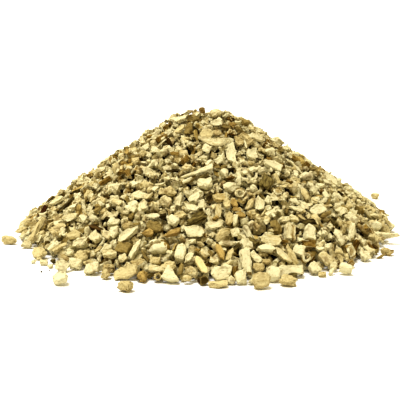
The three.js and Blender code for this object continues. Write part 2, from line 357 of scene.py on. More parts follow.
# A length of root with its skin round it and rings on its cut ends, which may be hollowed out
def rootPiece(rng, detail, width, length, slices):
    bm = newShape()
    shade = bm.verts.layers.float["shade"]
    sides, radius = (7, 9, 16)[detail], width / 2
    bmesh.ops.create_cone(bm, cap_ends=True, segments=sides, radius1=radius, radius2=radius, depth=length)
    turnAboutY(bm)
    ends = endFaces(bm)
    ringBreadth, ringStep = width * rootForm["ringBreadth"], width * rootForm["ringStep"]
    for _ in range(rootForm["rings"]):
        bmesh.ops.inset_individual(bm, faces=ends, thickness=ringBreadth, depth=ringStep)
    for end in ends:
        for vert in end.verts:
            vert[shade] = rootForm["endShade"]
    hollow = rng.uniform(*rootForm["hollow"]) * width
    # A pith poked inwards is a hollow, darkened with painted shade; a raised pith is only a little darker
    for pith in bmesh.ops.poke(bm, faces=ends, offset=hollow)["verts"]:
        pith[shade] = rootForm["pithShade"] if hollow > 0 else rootForm["hollowShade"]
    paintSkin(bm, [face for face in bm.faces if abs(face.normal.x) < 0.4])
    places = [length * ((i + 1) / (slices + 1) - 0.5) for i in range(slices)]
    sliceAcross(bm, places, rootForm["slant"], rng)
    depth, size = rootForm["unevenness"]
    roughen(bm, rng, width * depth, width * size)
    return bm


def rootSlice(rng, detail):
    bm = rootPiece(rng, detail, rootForm["sliceWidth"], rng.uniform(*rootForm["sliceLength"]), 1)
    turnAboutY(bm)
    return bm


def rootStick(rng, detail):
    bm = rootPiece(rng, detail, rng.uniform(*rootForm["stickWidth"]), 1, 2 + detail)
    bendAnyhow(bm, rng, rootForm["stickBow"])
    return bm


splinterForm = {
    "width": (0.16, 0.32), "thickness": (0.12, 0.22), "slant": 0.3, "taper": 1.2, "taperCurve": 1.5,
    "unevenness": (0.1, 0.2), "bend": (0.5,),
}


def splinter(rng, detail):
    bm = newShape()
    bmesh.ops.create_cube(bm, size=1)
    narrow(bm, rng, splinterForm)
    parts = (3, 5, 10)[detail]
    sliceAcross(bm, [i / parts - 0.5 for i in range(1, parts)], splinterForm["slant"], rng)
    for vert in bm.verts:
        vert.co.yz *= 1 - splinterForm["taper"] * abs(vert.co.x) ** splinterForm["taperCurve"]
    warp(bm, rng, splinterForm)
    return bm


stripForm = {"edge": (0.75, 1.06), "width": (0.5, 0.75), "unevenness": (0.08, 0.22), "bend": (0.4, 0.4)}
barkForm = {"arch": (1.5, 4), "thickness": (0.09, 0.17)}
curlForm = {"arch": (3, 6.5), "thickness": (0.1, 0.18)}


# A shaving that curls, or a strip of bark with its skin on the outside of the curl
def curledStrip(rng, detail, form, skinned):
    arch, thickness = rng.uniform(*form["arch"]), rng.uniform(*form["thickness"])
    bm = newShape()
    along, across = ((3, 3), (5, 5), (12, 9))[detail]
    bmesh.ops.create_grid(bm, x_segments=along, y_segments=across, size=0.5)
    for vert in bm.verts:
        if vert.is_boundary:
            vert.co.xy *= rng.uniform(*stripForm["edge"])
    stretch(bm, 1, rng.uniform(*stripForm["width"]), 1)
    for vert in bm.verts:
        turn = vert.co.y * arch
        vert.co.yz = (math.sin(turn) / arch, (math.cos(turn) - 1) / arch)
    warp(bm, rng, stripForm)
    if skinned:
        paintSkin(bm, bm.faces)
    skin = bm.faces.layers.float["skin"]
    for part in bmesh.ops.solidify(bm, geom=bm.faces[:], thickness=thickness)["geom"]:
        if isinstance(part, bmesh.types.BMFace):
            part[skin] = 0.0
    return bm


def barkSliver(rng, detail):
    return curledStrip(rng, detail, barkForm, True)


def curl(rng, detail):
    return curledStrip(rng, detail, curlForm, False)


ringForm = {
    "wall": 0.15, "wallSides": 8, "radius": 0.36, "steps": 18, "skinFrom": 0.42, "width": (0.75, 0.95),
    "thickness": (1.2, 1.8), "unevenness": (0.14, 0.4),
}


def rootRing(rng, detail):
    bm = newShape()
    bmesh.ops.create_circle(bm, segments=ringForm["wallSides"], radius=ringForm["wall"])
    bmesh.ops.rotate(bm, verts=bm.verts[:], matrix=Matrix.Rotation(math.pi / 2, 3, "X"))
    bmesh.ops.translate(bm, verts=bm.verts[:], vec=(ringForm["radius"], 0, 0))
    wall = bm.verts[:] + bm.edges[:]
    bmesh.ops.spin(bm, geom=wall, axis=(0, 0, 1), angle=2 * math.pi, steps=ringForm["steps"])
    bmesh.ops.remove_doubles(bm, verts=bm.verts[:], dist=0.001)
    narrow(bm, rng, ringForm)
    roughen(bm, rng, *ringForm["unevenness"])
    outside = [face for face in bm.faces if face.calc_center_median().xy.length > ringForm["skinFrom"]]
    paintSkin(bm, outside)
    return bm


crumbForm = {"unevenness": (0.5, 0.5), "width": 0.75, "thickness": 0.6}


def crumb(rng, detail):
    bm = newShape()
    bmesh.ops.create_icosphere(bm, subdivisions=1, radius=0.5)
    roughen(bm, rng, *crumbForm["unevenness"])
    stretch(bm, 1, crumbForm["width"], crumbForm["thickness"])
    return bm


rootletForm = {"thickEnd": 0.035, "thinEnd": 0.02, "parts": 6, "unevenness": (0.2, 0.5), "bend": (0.6,)}


def rootlet(rng, detail):
    bm = newShape()
    thick, thin, parts = rootletForm["thickEnd"], rootletForm["thinEnd"], rootletForm["parts"]
    bmesh.ops.create_cone(bm, cap_ends=True, segments=5, radius1=thick, radius2=thin, depth=1)
    turnAboutY(bm)
    sliceAcross(bm, [i / parts - 0.5 for i in range(1, parts)])
    warp(bm, rng, rootletForm)
    paintSkin(bm, bm.faces)
    return bm


plainForm = {"cube": 0.9, "askew": 0.16, "width": 0.8, "thickness": 0.66}


def plainChip(rng, detail):
    bm = newShape()
    bmesh.ops.create_cube(bm, size=plainForm["cube"])
    moveCorners(bm, rng, plainForm["askew"])
    stretch(bm, 1, plainForm["width"], plainForm["thickness"])
    return bm


# Each kind: how many different ones there are, its share, its usual length and the spread of lengths
chipKinds = {
    pithLump: dict(shapes=48, share=0.24, length=4.9 * mm, spread=0.25),
    cutBlock: dict(shapes=40, share=0.16, length=4.7 * mm, spread=0.25),
    splitChunk: dict(shapes=40, share=0.14, length=5.8 * mm, spread=0.25),
    brokenFlake: dict(shapes=44, share=0.22, length=5.8 * mm, spread=0.25),
    leafFlake: dict(shapes=30, share=0.1, length=5.8 * mm, spread=0.25),
    curl: dict(shapes=24, share=0.04, length=5.0 * mm, spread=0.2),
    rootSlice: dict(shapes=18, share=0.05, length=4.4 * mm, spread=0.2),
    rootStick: dict(shapes=24, share=0.03, length=6.4 * mm, spread=0.22),
    splinter: dict(shapes=20, share=0.03, length=6.6 * mm, spread=0.25),
    barkSliver: dict(shapes=20, share=0.02, length=5.6 * mm, spread=0.25),
}
crumbKinds = {crumb: dict(shapes=24, share=1, length=1.9 * mm, spread=0.3, tumbled=1)}
insideKinds = {plainChip: dict(shapes=24, share=1, length=6.5 * mm, spread=0.15, tumbled=1)}


# Six tiles, one for each way that a triangle can face
def boxMap(triangles, normals, margin=0.06):
    low, high = triangles.min((0, 1)), triangles.max((0, 1))
    share = (triangles - low) / (high - low)
    axis = np.abs(normals).argmax(1)
    row = (normals[np.arange(len(normals)), axis] > 0).astype(int)
    across = np.array([[1, 2], [0, 2], [0, 1]])[axis]
    flat = margin + (1 - 2 * margin) * np.take_along_axis(share, across[:, None, :], axis=2)
    return np.stack([(axis[:, None] + flat[..., 0]) / 3, (row[:, None] + flat[..., 1]) / 2], axis=2)


# Arrays of a finished shape, its triangles in a fixed order: corners, triangles, its marks, a map of each
# triangle on the shape's own square, and points spread over its surface that feel for what it lands on
def readShape(bm, rng, feelers=170):
    bmesh.ops.triangulate(bm, faces=bm.faces[:])
    bmesh.ops.recalc_face_normals(bm, faces=bm.faces[:])
    bm.verts.index_update()
    skinLayer, shadeLayer = bm.faces.layers.float["skin"], bm.verts.layers.float["shade"]
    points = np.array([vert.co for vert in bm.verts])
    shade = np.array([vert[shadeLayer] for vert in bm.verts])
    corners = np.array([[vert.index for vert in face.verts] for face in bm.faces])
    skin = np.array([face[skinLayer] for face in bm.faces])
    normals = np.array([face.normal for face in bm.faces])
    bm.free()
    turned = (corners.argmin(1)[:, None] + np.arange(3)) % 3
    corners = np.take_along_axis(corners, turned, axis=1)
    order = np.lexsort(corners.T)
    corners, skin, normals = corners[order], skin[order], normals[order]
    points -= (points.max(0) + points.min(0)) / 2
    points /= np.ptp(points[:, 0])
    triangles = points[corners]
    first, second = triangles[:, 1] - triangles[:, 0], triangles[:, 2] - triangles[:, 0]
    area = np.linalg.norm(np.cross(first, second), axis=1)
    chosen = rng.choice(len(corners), size=feelers, p=area / area.sum())
    felt = np.einsum("ij,ijk->ik", rng.dirichlet((1, 1, 1), size=feelers), triangles[chosen])
    square = boxMap(triangles, normals)
    return dict(points=points, corners=corners, skin=skin, shade=shade, square=square, feelers=felt)


print("Shaping the chips")
shapes = {}
for number, (kind, facts) in enumerate({**chipKinds, **crumbKinds, **insideKinds}.items()):
    for detail in (0, 1) if kind in chipKinds else (0,):
        rng = np.random.default_rng(100 * number + detail)
        shapes[kind, detail] = [readShape(kind(rng, detail), rng) for _ in range(facts["shapes"])]
        triangles = np.mean([len(shape["corners"]) for shape in shapes[kind, detail]])
        print("  ", kind.__name__, detail, int(triangles), "triangles each")


# Where chips come to lie: a grid over the floor holds the height of what lies there.
cell = 0.7 * mm
gridReach = 105 * mm
cellsAcross = int(2 * gridReach / cell)
middles = (np.arange(cellsAcross) + 0.5) * cell - gridReach
gridX, gridY = np.meshgrid(middles, middles, indexing="ij")
bearing = np.arctan2(gridX, -gridY)
gridRun = np.hypot(gridX, gridY)
footEdge = np.interp(np.degrees(bearing), list(footLine), list(footLine.values())) * mm
footEdge += heapForm["footRipple"] * np.sin(heapForm["footRipples"] * bearing)
slopeWanted = np.maximum(slopeHeight(gridX, gridY) + heapForm["fullness"], heapForm["rimHeight"])
slopeWanted = np.where(gridRun < footEdge, slopeWanted, 0)
lyingHeight = np.zeros_like(slopeWanted)
underside = np.full_like(slopeWanted, np.inf)   # of the chips that are placed one by one


def cellsAt(points):
    index = np.clip(((points[:, :2] + gridReach) / cell).astype(int), 0, cellsAcross - 1)
    return index[:, 0], index[:, 1]


# A chip let down at a place comes to lie on what is there, a few of its feelers pressed in.
def letDown(shape, lie, x, y, pressed):
    felt = shape["feelers"] @ lie.T + (x, y, 0)
    place = cellsAt(felt)
    rise = np.partition(lyingHeight[place] - felt[:, 2], -pressed)[-pressed]
    rise = max(rise, -(shape["points"] @ lie[2]).min())
    felt[:, 2] += rise
    return felt, place, rise


def slopeLie(x, y, turn, pitch, roll=0.0):
    axes = slopeAxes(x, y) @ Matrix.Rotation(pitch, 3, "X") @ Matrix.Rotation(roll, 3, "Y")
    return np.array(axes @ Matrix.Rotation(turn, 3, "Z"))


# How a loose chip comes to lie: the share that lies anyhow, the share of the rest that lies upside down, and
# how far these tilt from the slope, in degrees
chance = {"tumbled": 0.3, "turnedOver": 0.35, "tilt": 30}


def chanceLie(rng, facts, x, y):
    if rng.random() < facts.get("tumbled", chance["tumbled"]):
        return np.array(Matrix(np.linalg.qr(rng.normal(size=(3, 3)))[0]).to_quaternion().to_matrix())
    over = math.pi if rng.random() < chance["turnedOver"] else 0.0
    pitch, roll = rng.normal(0, math.radians(chance["tilt"]), 2)
    return slopeLie(x, y, rng.uniform(0, 2 * math.pi), pitch + over, roll)


# Where the wood of a loose chip comes from in the root, with its share
woodShares = {"pale": 0.75, "tan": 0.17, "brown": 0.055, "redBrown": 0.01, "bark": 0.015}
looseChips = {name: [] for name in (*woodShares, "inside", "crumb")}
pouring = {
    "thinnest": 0.5 * mm,         # no chips where less is wanted
    "placesTried": 24,            # for each chip, of which the lowest is taken
    "chipsTried": 6,              # there, until one fits
    "smaller": 0.06,              # each than the one before
    "stretched": (0.82, 1.2),     # in each of its three directions
    "givenUp": 2500,              # a layer is full when so many chips have found no place
    "most": 9000,                 # chips in a layer
    "darkest": 0.75,              # from 0 for the lightest
    "toneSpread": (1.5, 2.8),     # more of them light than dark
}


# A chip that lies no higher at a place than is wanted there, give or take the looseness, or none
def fittingChip(rng, x, y, wanted, kinds, detail, looseness, scale, pressed):
    shares = np.array([facts["share"] for facts in kinds.values()])
    for attempt in range(pouring["chipsTried"]):
        kind = list(kinds)[rng.choice(len(kinds), p=shares / shares.sum())]
        facts = kinds[kind]
        shape = shapes[kind, detail][rng.integers(facts["shapes"])]
        shrunk = 1 - pouring["smaller"] * attempt
        length = facts["length"] * scale(x, y) * shrunk * math.exp(rng.normal(0, facts["spread"]))
        size = length * rng.uniform(*pouring["stretched"], 3)
        lie = chanceLie(rng, facts, x, y) * size
        felt, place, rise = letDown(shape, lie, x, y, pressed)
        allowed = np.minimum(wanted[place] + rng.uniform(*looseness), underside[place])
        if (felt[:, 2] < allowed).all():
            np.maximum.at(lyingHeight, place, felt[:, 2])
            return dict(kind=kind, shape=shape, lie=lie, at=np.array((x, y, rise)), size=size)
    return None


# Chips poured on until the heap reaches the wanted height everywhere
def pourChips(rng, wanted, room, bucket=None, most=pouring["most"], **layer):
    places = np.argwhere(wanted > pouring["thinnest"])
    laid = missed = 0
    while laid < most and missed < pouring["givenUp"]:
        some = places[rng.integers(len(places), size=pouring["placesTried"])]
        left = (wanted - lyingHeight)[some[:, 0], some[:, 1]]
        spot = some[left.argmax()]
        made = left.max() >= room and fittingChip(rng, middles[spot[0]], middles[spot[1]], wanted, **layer)
        if not made:
            missed += 1
            continue
        wood = bucket or rng.choice(list(woodShares), p=list(woodShares.values()))
        made["tone"] = pouring["darkest"] * rng.beta(*pouring["toneSpread"])
        looseChips["bark" if made["kind"] is barkSliver else wood].append(made)
        laid += 1
    return laid


# What is known of a chip that is placed one by one: its kind, its wood, its turn in degrees, how dark it is
# and more for some. The outline's corners are given with the length across, a crack by its direction and
# place, skinSide by its direction.
def chip(make, wood="pale", turn=0, tone=0.25, **more):
    return dict(make=make, wood=wood, turn=turn, tone=tone, **more)


# Chips that stand out, each in the place of its own solid. The turn and the pitch are those of the solid:
# the turn lifts the right-hand end, the pitch stands the flat side up from the slope.
standing = {
    "crown_knob": chip(pithLump, "bark", tone=1.1, finish=dict(uneven=0.5)),
    "crown_lump": chip(pithLump, turn=8, tone=0.4, outline=[
        (1, 0), (0.5, 0.9), (-0.4, 1), (-1, 0.2), (-0.8, -0.8), (0.4, -1)]),
    "crown_flake": chip(brokenFlake, turn=30, tone=0.2, outline=[
        (1, 0.5), (0.3, 1), (-0.9, 0.7), (-1, -0.3), (-0.2, -1), (0.8, -0.6)]),
    "bark_edged_chip": chip(cutBlock, "brown", turn=-20, tone=0.1, skinSide=0),
    "tan_leaf_flake": chip(leafFlake, "tan", turn=54, pitch=20, tone=0.1),
    "crown_disc": chip(leafFlake, "tan", turn=4, pitch=25, tone=0.1, outline=[
        (1, 0.2), (0.5, 1), (-0.5, 0.9), (-1, 0), (-0.6, -0.9), (0.5, -1)]),
    "boat_flake": chip(leafFlake, turn=-3, pitch=28, tone=0.35, outline=[
        (1, 0.8), (0, 0.7), (-1, 1), (-0.7, 0), (-0.2, -0.9), (0.5, -1), (0.9, -0.1)]),
    "upright_flake": chip(brokenFlake, turn=84, pitch=18, tone=0.0, holed=True, outline=[
        (1, -0.8), (0.7, 0.3), (0.2, 0.9), (-0.7, 1), (-0.9, 0), (-1, -0.8), (0, -1)]),
    "notched_flake": chip(brokenFlake, turn=30, pitch=20, tone=0.05, outline=[
        (1, 0.3), (0.3, 0.5), (0, 1), (-0.6, 0.6), (-1, 0.2), (-0.4, -1), (0.6, -0.7)]),
    "folded_flake": chip(leafFlake, turn=-22, pitch=12, tone=0.1, outline=[
        (1, 0.2), (0.2, 1), (-0.9, 0.6), (-1, -0.2), (0, -0.6), (0.7, -1)]),
    "olive_bark": chip(splitChunk, "bark", turn=55, tone=0.0, skinned=True, finish=dict(fibres=0.6),
        outline=[(1, 0.5), (0.2, 0.8), (-0.8, 1), (-1, -0.4), (-0.3, -0.9), (0.7, -1)]),
    "long_sliver": chip(splitChunk, turn=24, pitch=20, tone=0.05,
        finish=dict(uneven=0.2, curl=0.0, facets=1, fibres=0.15), outline=[
        (1, 1), (0, 0.5), (-1, 0.2), (-1, -0.3), (0, -0.7), (0.9, -1)]),
    "two_lobed_lump": chip(pithLump, turn=10, tone=0.05, outline=[
        (1, 0.3), (0.8, 1), (0.2, 0.7), (-0.6, 1), (-1, 0.2), (-0.9, -0.8), (0.7, -1)]),
    "upper_leaf_flake": chip(leafFlake, turn=36, pitch=20, tone=0.05, outline=[
        (1, 0.6), (0, 1), (-0.9, 0.6), (-1, -0.2), (0, -1), (0.8, -0.6)]),
    "lower_leaf_flake": chip(leafFlake, turn=-10, pitch=20, tone=0.05, outline=[
        (1, 0.4), (0, 0.9), (-1, 1), (-0.7, -0.4), (0, -1), (0.7, -0.7)]),
    "tan_almond": chip(leafFlake, "tan", turn=84, pitch=10, tone=0.2, outline=[
        (1, 0.2), (0, 1), (-0.8, 0.7), (-1, -0.1), (-0.5, -1), (0.4, -0.9)]),
    "dark_bark_chip": chip(splitChunk, "bark", turn=28, pitch=12, tone=0.1, skinned=True,
        finish=dict(fibres=0.6), outline=[
        (1, 0.9), (0.2, 1), (-0.9, 0.5), (-1, -0.6), (-0.2, -1), (0.9, -0.6)]),
    "dark_root_end": chip(rootSlice, "bark", pitch=40, tone=0.7, skinned=True),
    "round_pale_lump": chip(pithLump, turn=-30, tone=0.05, outline=[
        (1, 0.5), (0.2, 1), (-0.9, 0.8), (-1, -0.3), (-0.3, -1), (0.8, -0.7)]),
    "ragged_flake": chip(brokenFlake, turn=-6, pitch=22, tone=0.05, outline=[
        (1, 0.2), (0.6, 1), (-0.5, 0.9), (-1, 0.5), (-0.8, -0.6), (-0.3, -1), (0.8, -0.7)]),
    "red_brown_sliver": chip(splitChunk, "redBrown", turn=22, tone=0.6, outline=[
        (1, 0.6), (0.4, 1), (-0.6, 0.4), (-1, -0.2), (-0.8, -0.9), (0.6, -1)]),
    "big_pale_flake": chip(brokenFlake, turn=38, pitch=20, tone=0.05, outline=[
        (1, 0.3), (0.4, 1), (-0.5, 0.9), (-1, 0.8), (-0.8, -0.9), (-0.1, -1), (0.6, -0.4)]),
    "brown_block": chip(cutBlock, "brown", pitch=20, tone=0.2, outline=[
        (1, 0.7), (0.8, 1), (-0.7, 1), (-1, 0.5), (-1, -0.9), (0.9, -1)]),
    "leaning_stick": chip(splitChunk, turn=78, pitch=10, tone=0.15, outline=[
        (1, 0), (0.7, 0.7), (-0.6, 1), (-1, 0.7), (-0.9, -0.8), (0, -1), (0.9, -0.7)]),
    "cracked_lump": chip(pithLump, turn=12, tone=0.0, crack=(100, 0.04), skinSide=-10,
        finish=dict(facets=2, edge=0.75, uneven=0.35), outline=[
        (1, -0.3), (0.9, 0.4), (0.3, 0.9), (-0.5, 1), (-0.9, 0.5), (-1, -0.4), (-0.5, -0.9), (0.3, -1),
        (0.9, -0.8)]),
    "oval_lump": chip(pithLump, turn=88, tone=0.1, finish=dict(facets=2, edge=0.45, uneven=0.35), outline=[
        (1, 0), (0.8, 0.8), (0, 1), (-0.8, 0.7), (-1, -0.1), (-0.7, -0.9), (0.2, -1), (0.9, -0.7)]),
    "broad_tan_flake": chip(brokenFlake, "tan", turn=26, pitch=18, tone=0.0, outline=[
        (1, 0.4), (0.5, 1), (-0.3, 0.8), (-1, 0.4), (-0.9, -0.8), (0.1, -1), (0.9, -0.7)]),
    "orange_knob": chip(pithLump, "redBrown", tone=0.3),
    "front_wedge": chip(cutBlock, pitch=14, tone=0.05, finish=dict(facets=0, uneven=0.3), outline=[
        (-0.4, 1), (-1, -0.7), (0, -1), (1, -0.9), (0.2, 0.3)]),
    "yellow_almond": chip(leafFlake, "yellow", turn=-62, pitch=10, tone=0.0, outline=[
        (1, 0.3), (0.5, 1), (-0.5, 0.8), (-1, -0.2), (-0.4, -1), (0.6, -0.8)]),
    "red_almond": chip(leafFlake, "redBrown", turn=-72, pitch=10, tone=0.0, outline=[
        (1, 0.1), (0.4, 1), (-0.6, 0.7), (-1, -0.2), (-0.3, -1), (0.6, -0.8)]),
    "front_block": chip(cutBlock, turn=8, pitch=26, tone=0.1,
        finish=dict(facets=1, edge=0.18, uneven=0.3, dish=0.0), outline=[
        (1, 0.7), (0.5, 1), (-0.9, 0.8), (-1, 0.1), (-0.6, -1), (0.3, -0.9), (0.8, -0.2)]),
    "upright_stick": chip(splitChunk, turn=88, pitch=14, tone=0.05, skinSide=180, outline=[
        (1, 0.3), (0.8, 1), (-0.4, 0.9), (-1, -0.2), (-0.9, -0.9), (0, -0.8), (0.9, -0.7)]),
    "root_disc": chip(cutBlock, "tan", pitch=60, tone=0.2, ringed=True,
        finish=dict(dish=-0.1, facets=0, uneven=0.3), outline=[
        (1, 0.3), (0.7, 0.8), (0, 1), (-0.7, 0.8), (-1, 0), (-0.7, -0.8), (0, -1), (0.8, -0.7)]),
    "front_pale_lump": chip(pithLump, turn=70, tone=0.0, finish=dict(facets=3, edge=0.4, uneven=0.3),
        outline=[(1, 0.4), (0.7, 0.9), (-0.6, 1), (-1, 0.3), (-0.8, -0.9), (0.6, -1), (1, -0.5)]),
    "overhanging_flake": chip(brokenFlake, turn=-8, pitch=-8, tone=0.05, outline=[
        (1, -0.2), (0.5, 0.8), (-0.4, 1), (-1, 0.3), (-0.6, -0.8), (0.4, -1)]),
    "striped_block": chip(cutBlock, turn=70, pitch=16, tone=0.35, crack=(90, -0.1), outline=[
        (1, 0.8), (-0.9, 1), (-1, -0.7), (0.9, -1)]),
    "pale_block": chip(cutBlock, turn=66, pitch=16, tone=0.05, outline=[
        (1, 0.5), (0.9, -0.8), (0, -1), (-1, -0.9), (-0.9, 0.8), (0.6, 1)]),
    "round_stick": chip(splitChunk, turn=50, pitch=34, tone=0.15),
    "bell_knob": chip(pithLump, tone=0.0, finish=dict(facets=3, uneven=0.3), outline=[
        (0, 1), (-0.7, 0.3), (-1, -0.7), (0, -1), (1, -0.8), (0.8, 0.3)]),
    "frayed_flake": chip(splitChunk, turn=-80, pitch=-36, tone=0.3, outline=[
        (1, 0.5), (0, 0.6), (-1, 1), (-0.9, -0.9), (0, -1), (0.8, -0.2)]),
    "spotted_knob": chip(pithLump, "tan", tone=0.1, skinSide=-60),
    "right_wedge": chip(cutBlock, turn=-34, pitch=24, tone=0.0, outline=[
        (1, -0.3), (0.7, 0.4), (-0.2, 1), (-1, 0.8), (-0.9, -0.7), (0.2, -1)]),
    "long_stick": chip(splitChunk, "tan", turn=116, pitch=16, tone=0.3, outline=[
        (1, 0.4), (0, 0.8), (-0.8, 1), (-1, 0), (-0.7, -1), (0.9, -0.6)]),
    "tan_lump": chip(pithLump, "tan", tone=0.2),
    "front_left_flake": chip(brokenFlake, turn=10, pitch=25, tone=0.05, outline=[
        (1, -0.4), (0.4, 1), (-0.4, 0.9), (-1, -0.3), (-0.4, -1), (0.5, -0.8)]),
    "dark_bark_strip": chip(barkSliver, "bark", turn=104, tone=0.5),
    "arched_flake": chip(leafFlake, turn=50, tone=0.2),
    "kidney_stray": chip(leafFlake, "tan", turn=50, tone=0.3),
    "front_stray": chip(pithLump, "tan", tone=0.4, skinSide=60),
    "back_stray": chip(pithLump, "tan", tone=0.15),
    "back_flake": chip(brokenFlake, pitch=15),
    "back_stick": chip(splitChunk, turn=50, pitch=15),
    "back_lump": chip(pithLump, turn=100, pitch=15),
    "back_bark": chip(barkSliver, "bark", turn=150, pitch=15, tone=0.4),
    "back_wedge": chip(cutBlock, turn=200, pitch=15),
    "back_leaf": chip(leafFlake, turn=250, pitch=15),
    "back_block": chip(cutBlock, turn=300, pitch=15),
    "back_disc": chip(rootSlice, turn=350, pitch=15),
}

# The camera, fitted to the heap in the photo, and the plain light and floor round it
stage = {
    "cameraDistance": 420 * mm,
    "cameraElevation": 14.85,
    "lens": 82.35,
    "sensor": 36,
    "nearest": 10 * mm,
    "frameSize": 400,
    "aim": (-3.4 * mm, 3.0 * mm, 11.4 * mm),
    "floorSize": 3.0,
    "floorColour": "#f4f4f4",
    "floorRoughness": 0.8,
    "ambient": 0.6,
    "ambientColour": "#fff3d4",
    "keyFrom": (-0.25, -0.08, 1.0),
    "keyStrength": 2.62,
    "keySoftness": 30,
}
elevation = math.radians(stage["cameraElevation"])
cameraPlace = stage["cameraDistance"] * Vector((0, -math.cos(elevation), math.sin(elevation)))
cameraTurn = (Vector(stage["aim"]) - cameraPlace).to_track_quat("-Z", "Y").to_matrix()
sight = {"from": 280 * mm, "to": 700 * mm, "step": 0.2 * mm}   # of the search along a line from the camera


# Where the heap or the floor is met at a pixel of the photo
def placeSeen(across, down):
    middle = stage["frameSize"] / 2
    perPixel = stage["sensor"] / stage["lens"] / stage["frameSize"]
    ray = (cameraTurn @ Vector(((across - middle) * perPixel, (middle - down) * perPixel, -1))).normalized()
    distance = sight["from"]
    place = cameraPlace + ray * distance
    while place.z > max(slopeHeight(place.x, place.y) + heapForm["fullness"], 0) and distance < sight["to"]:
        distance += sight["step"]
        place = cameraPlace + ray * distance
    return place


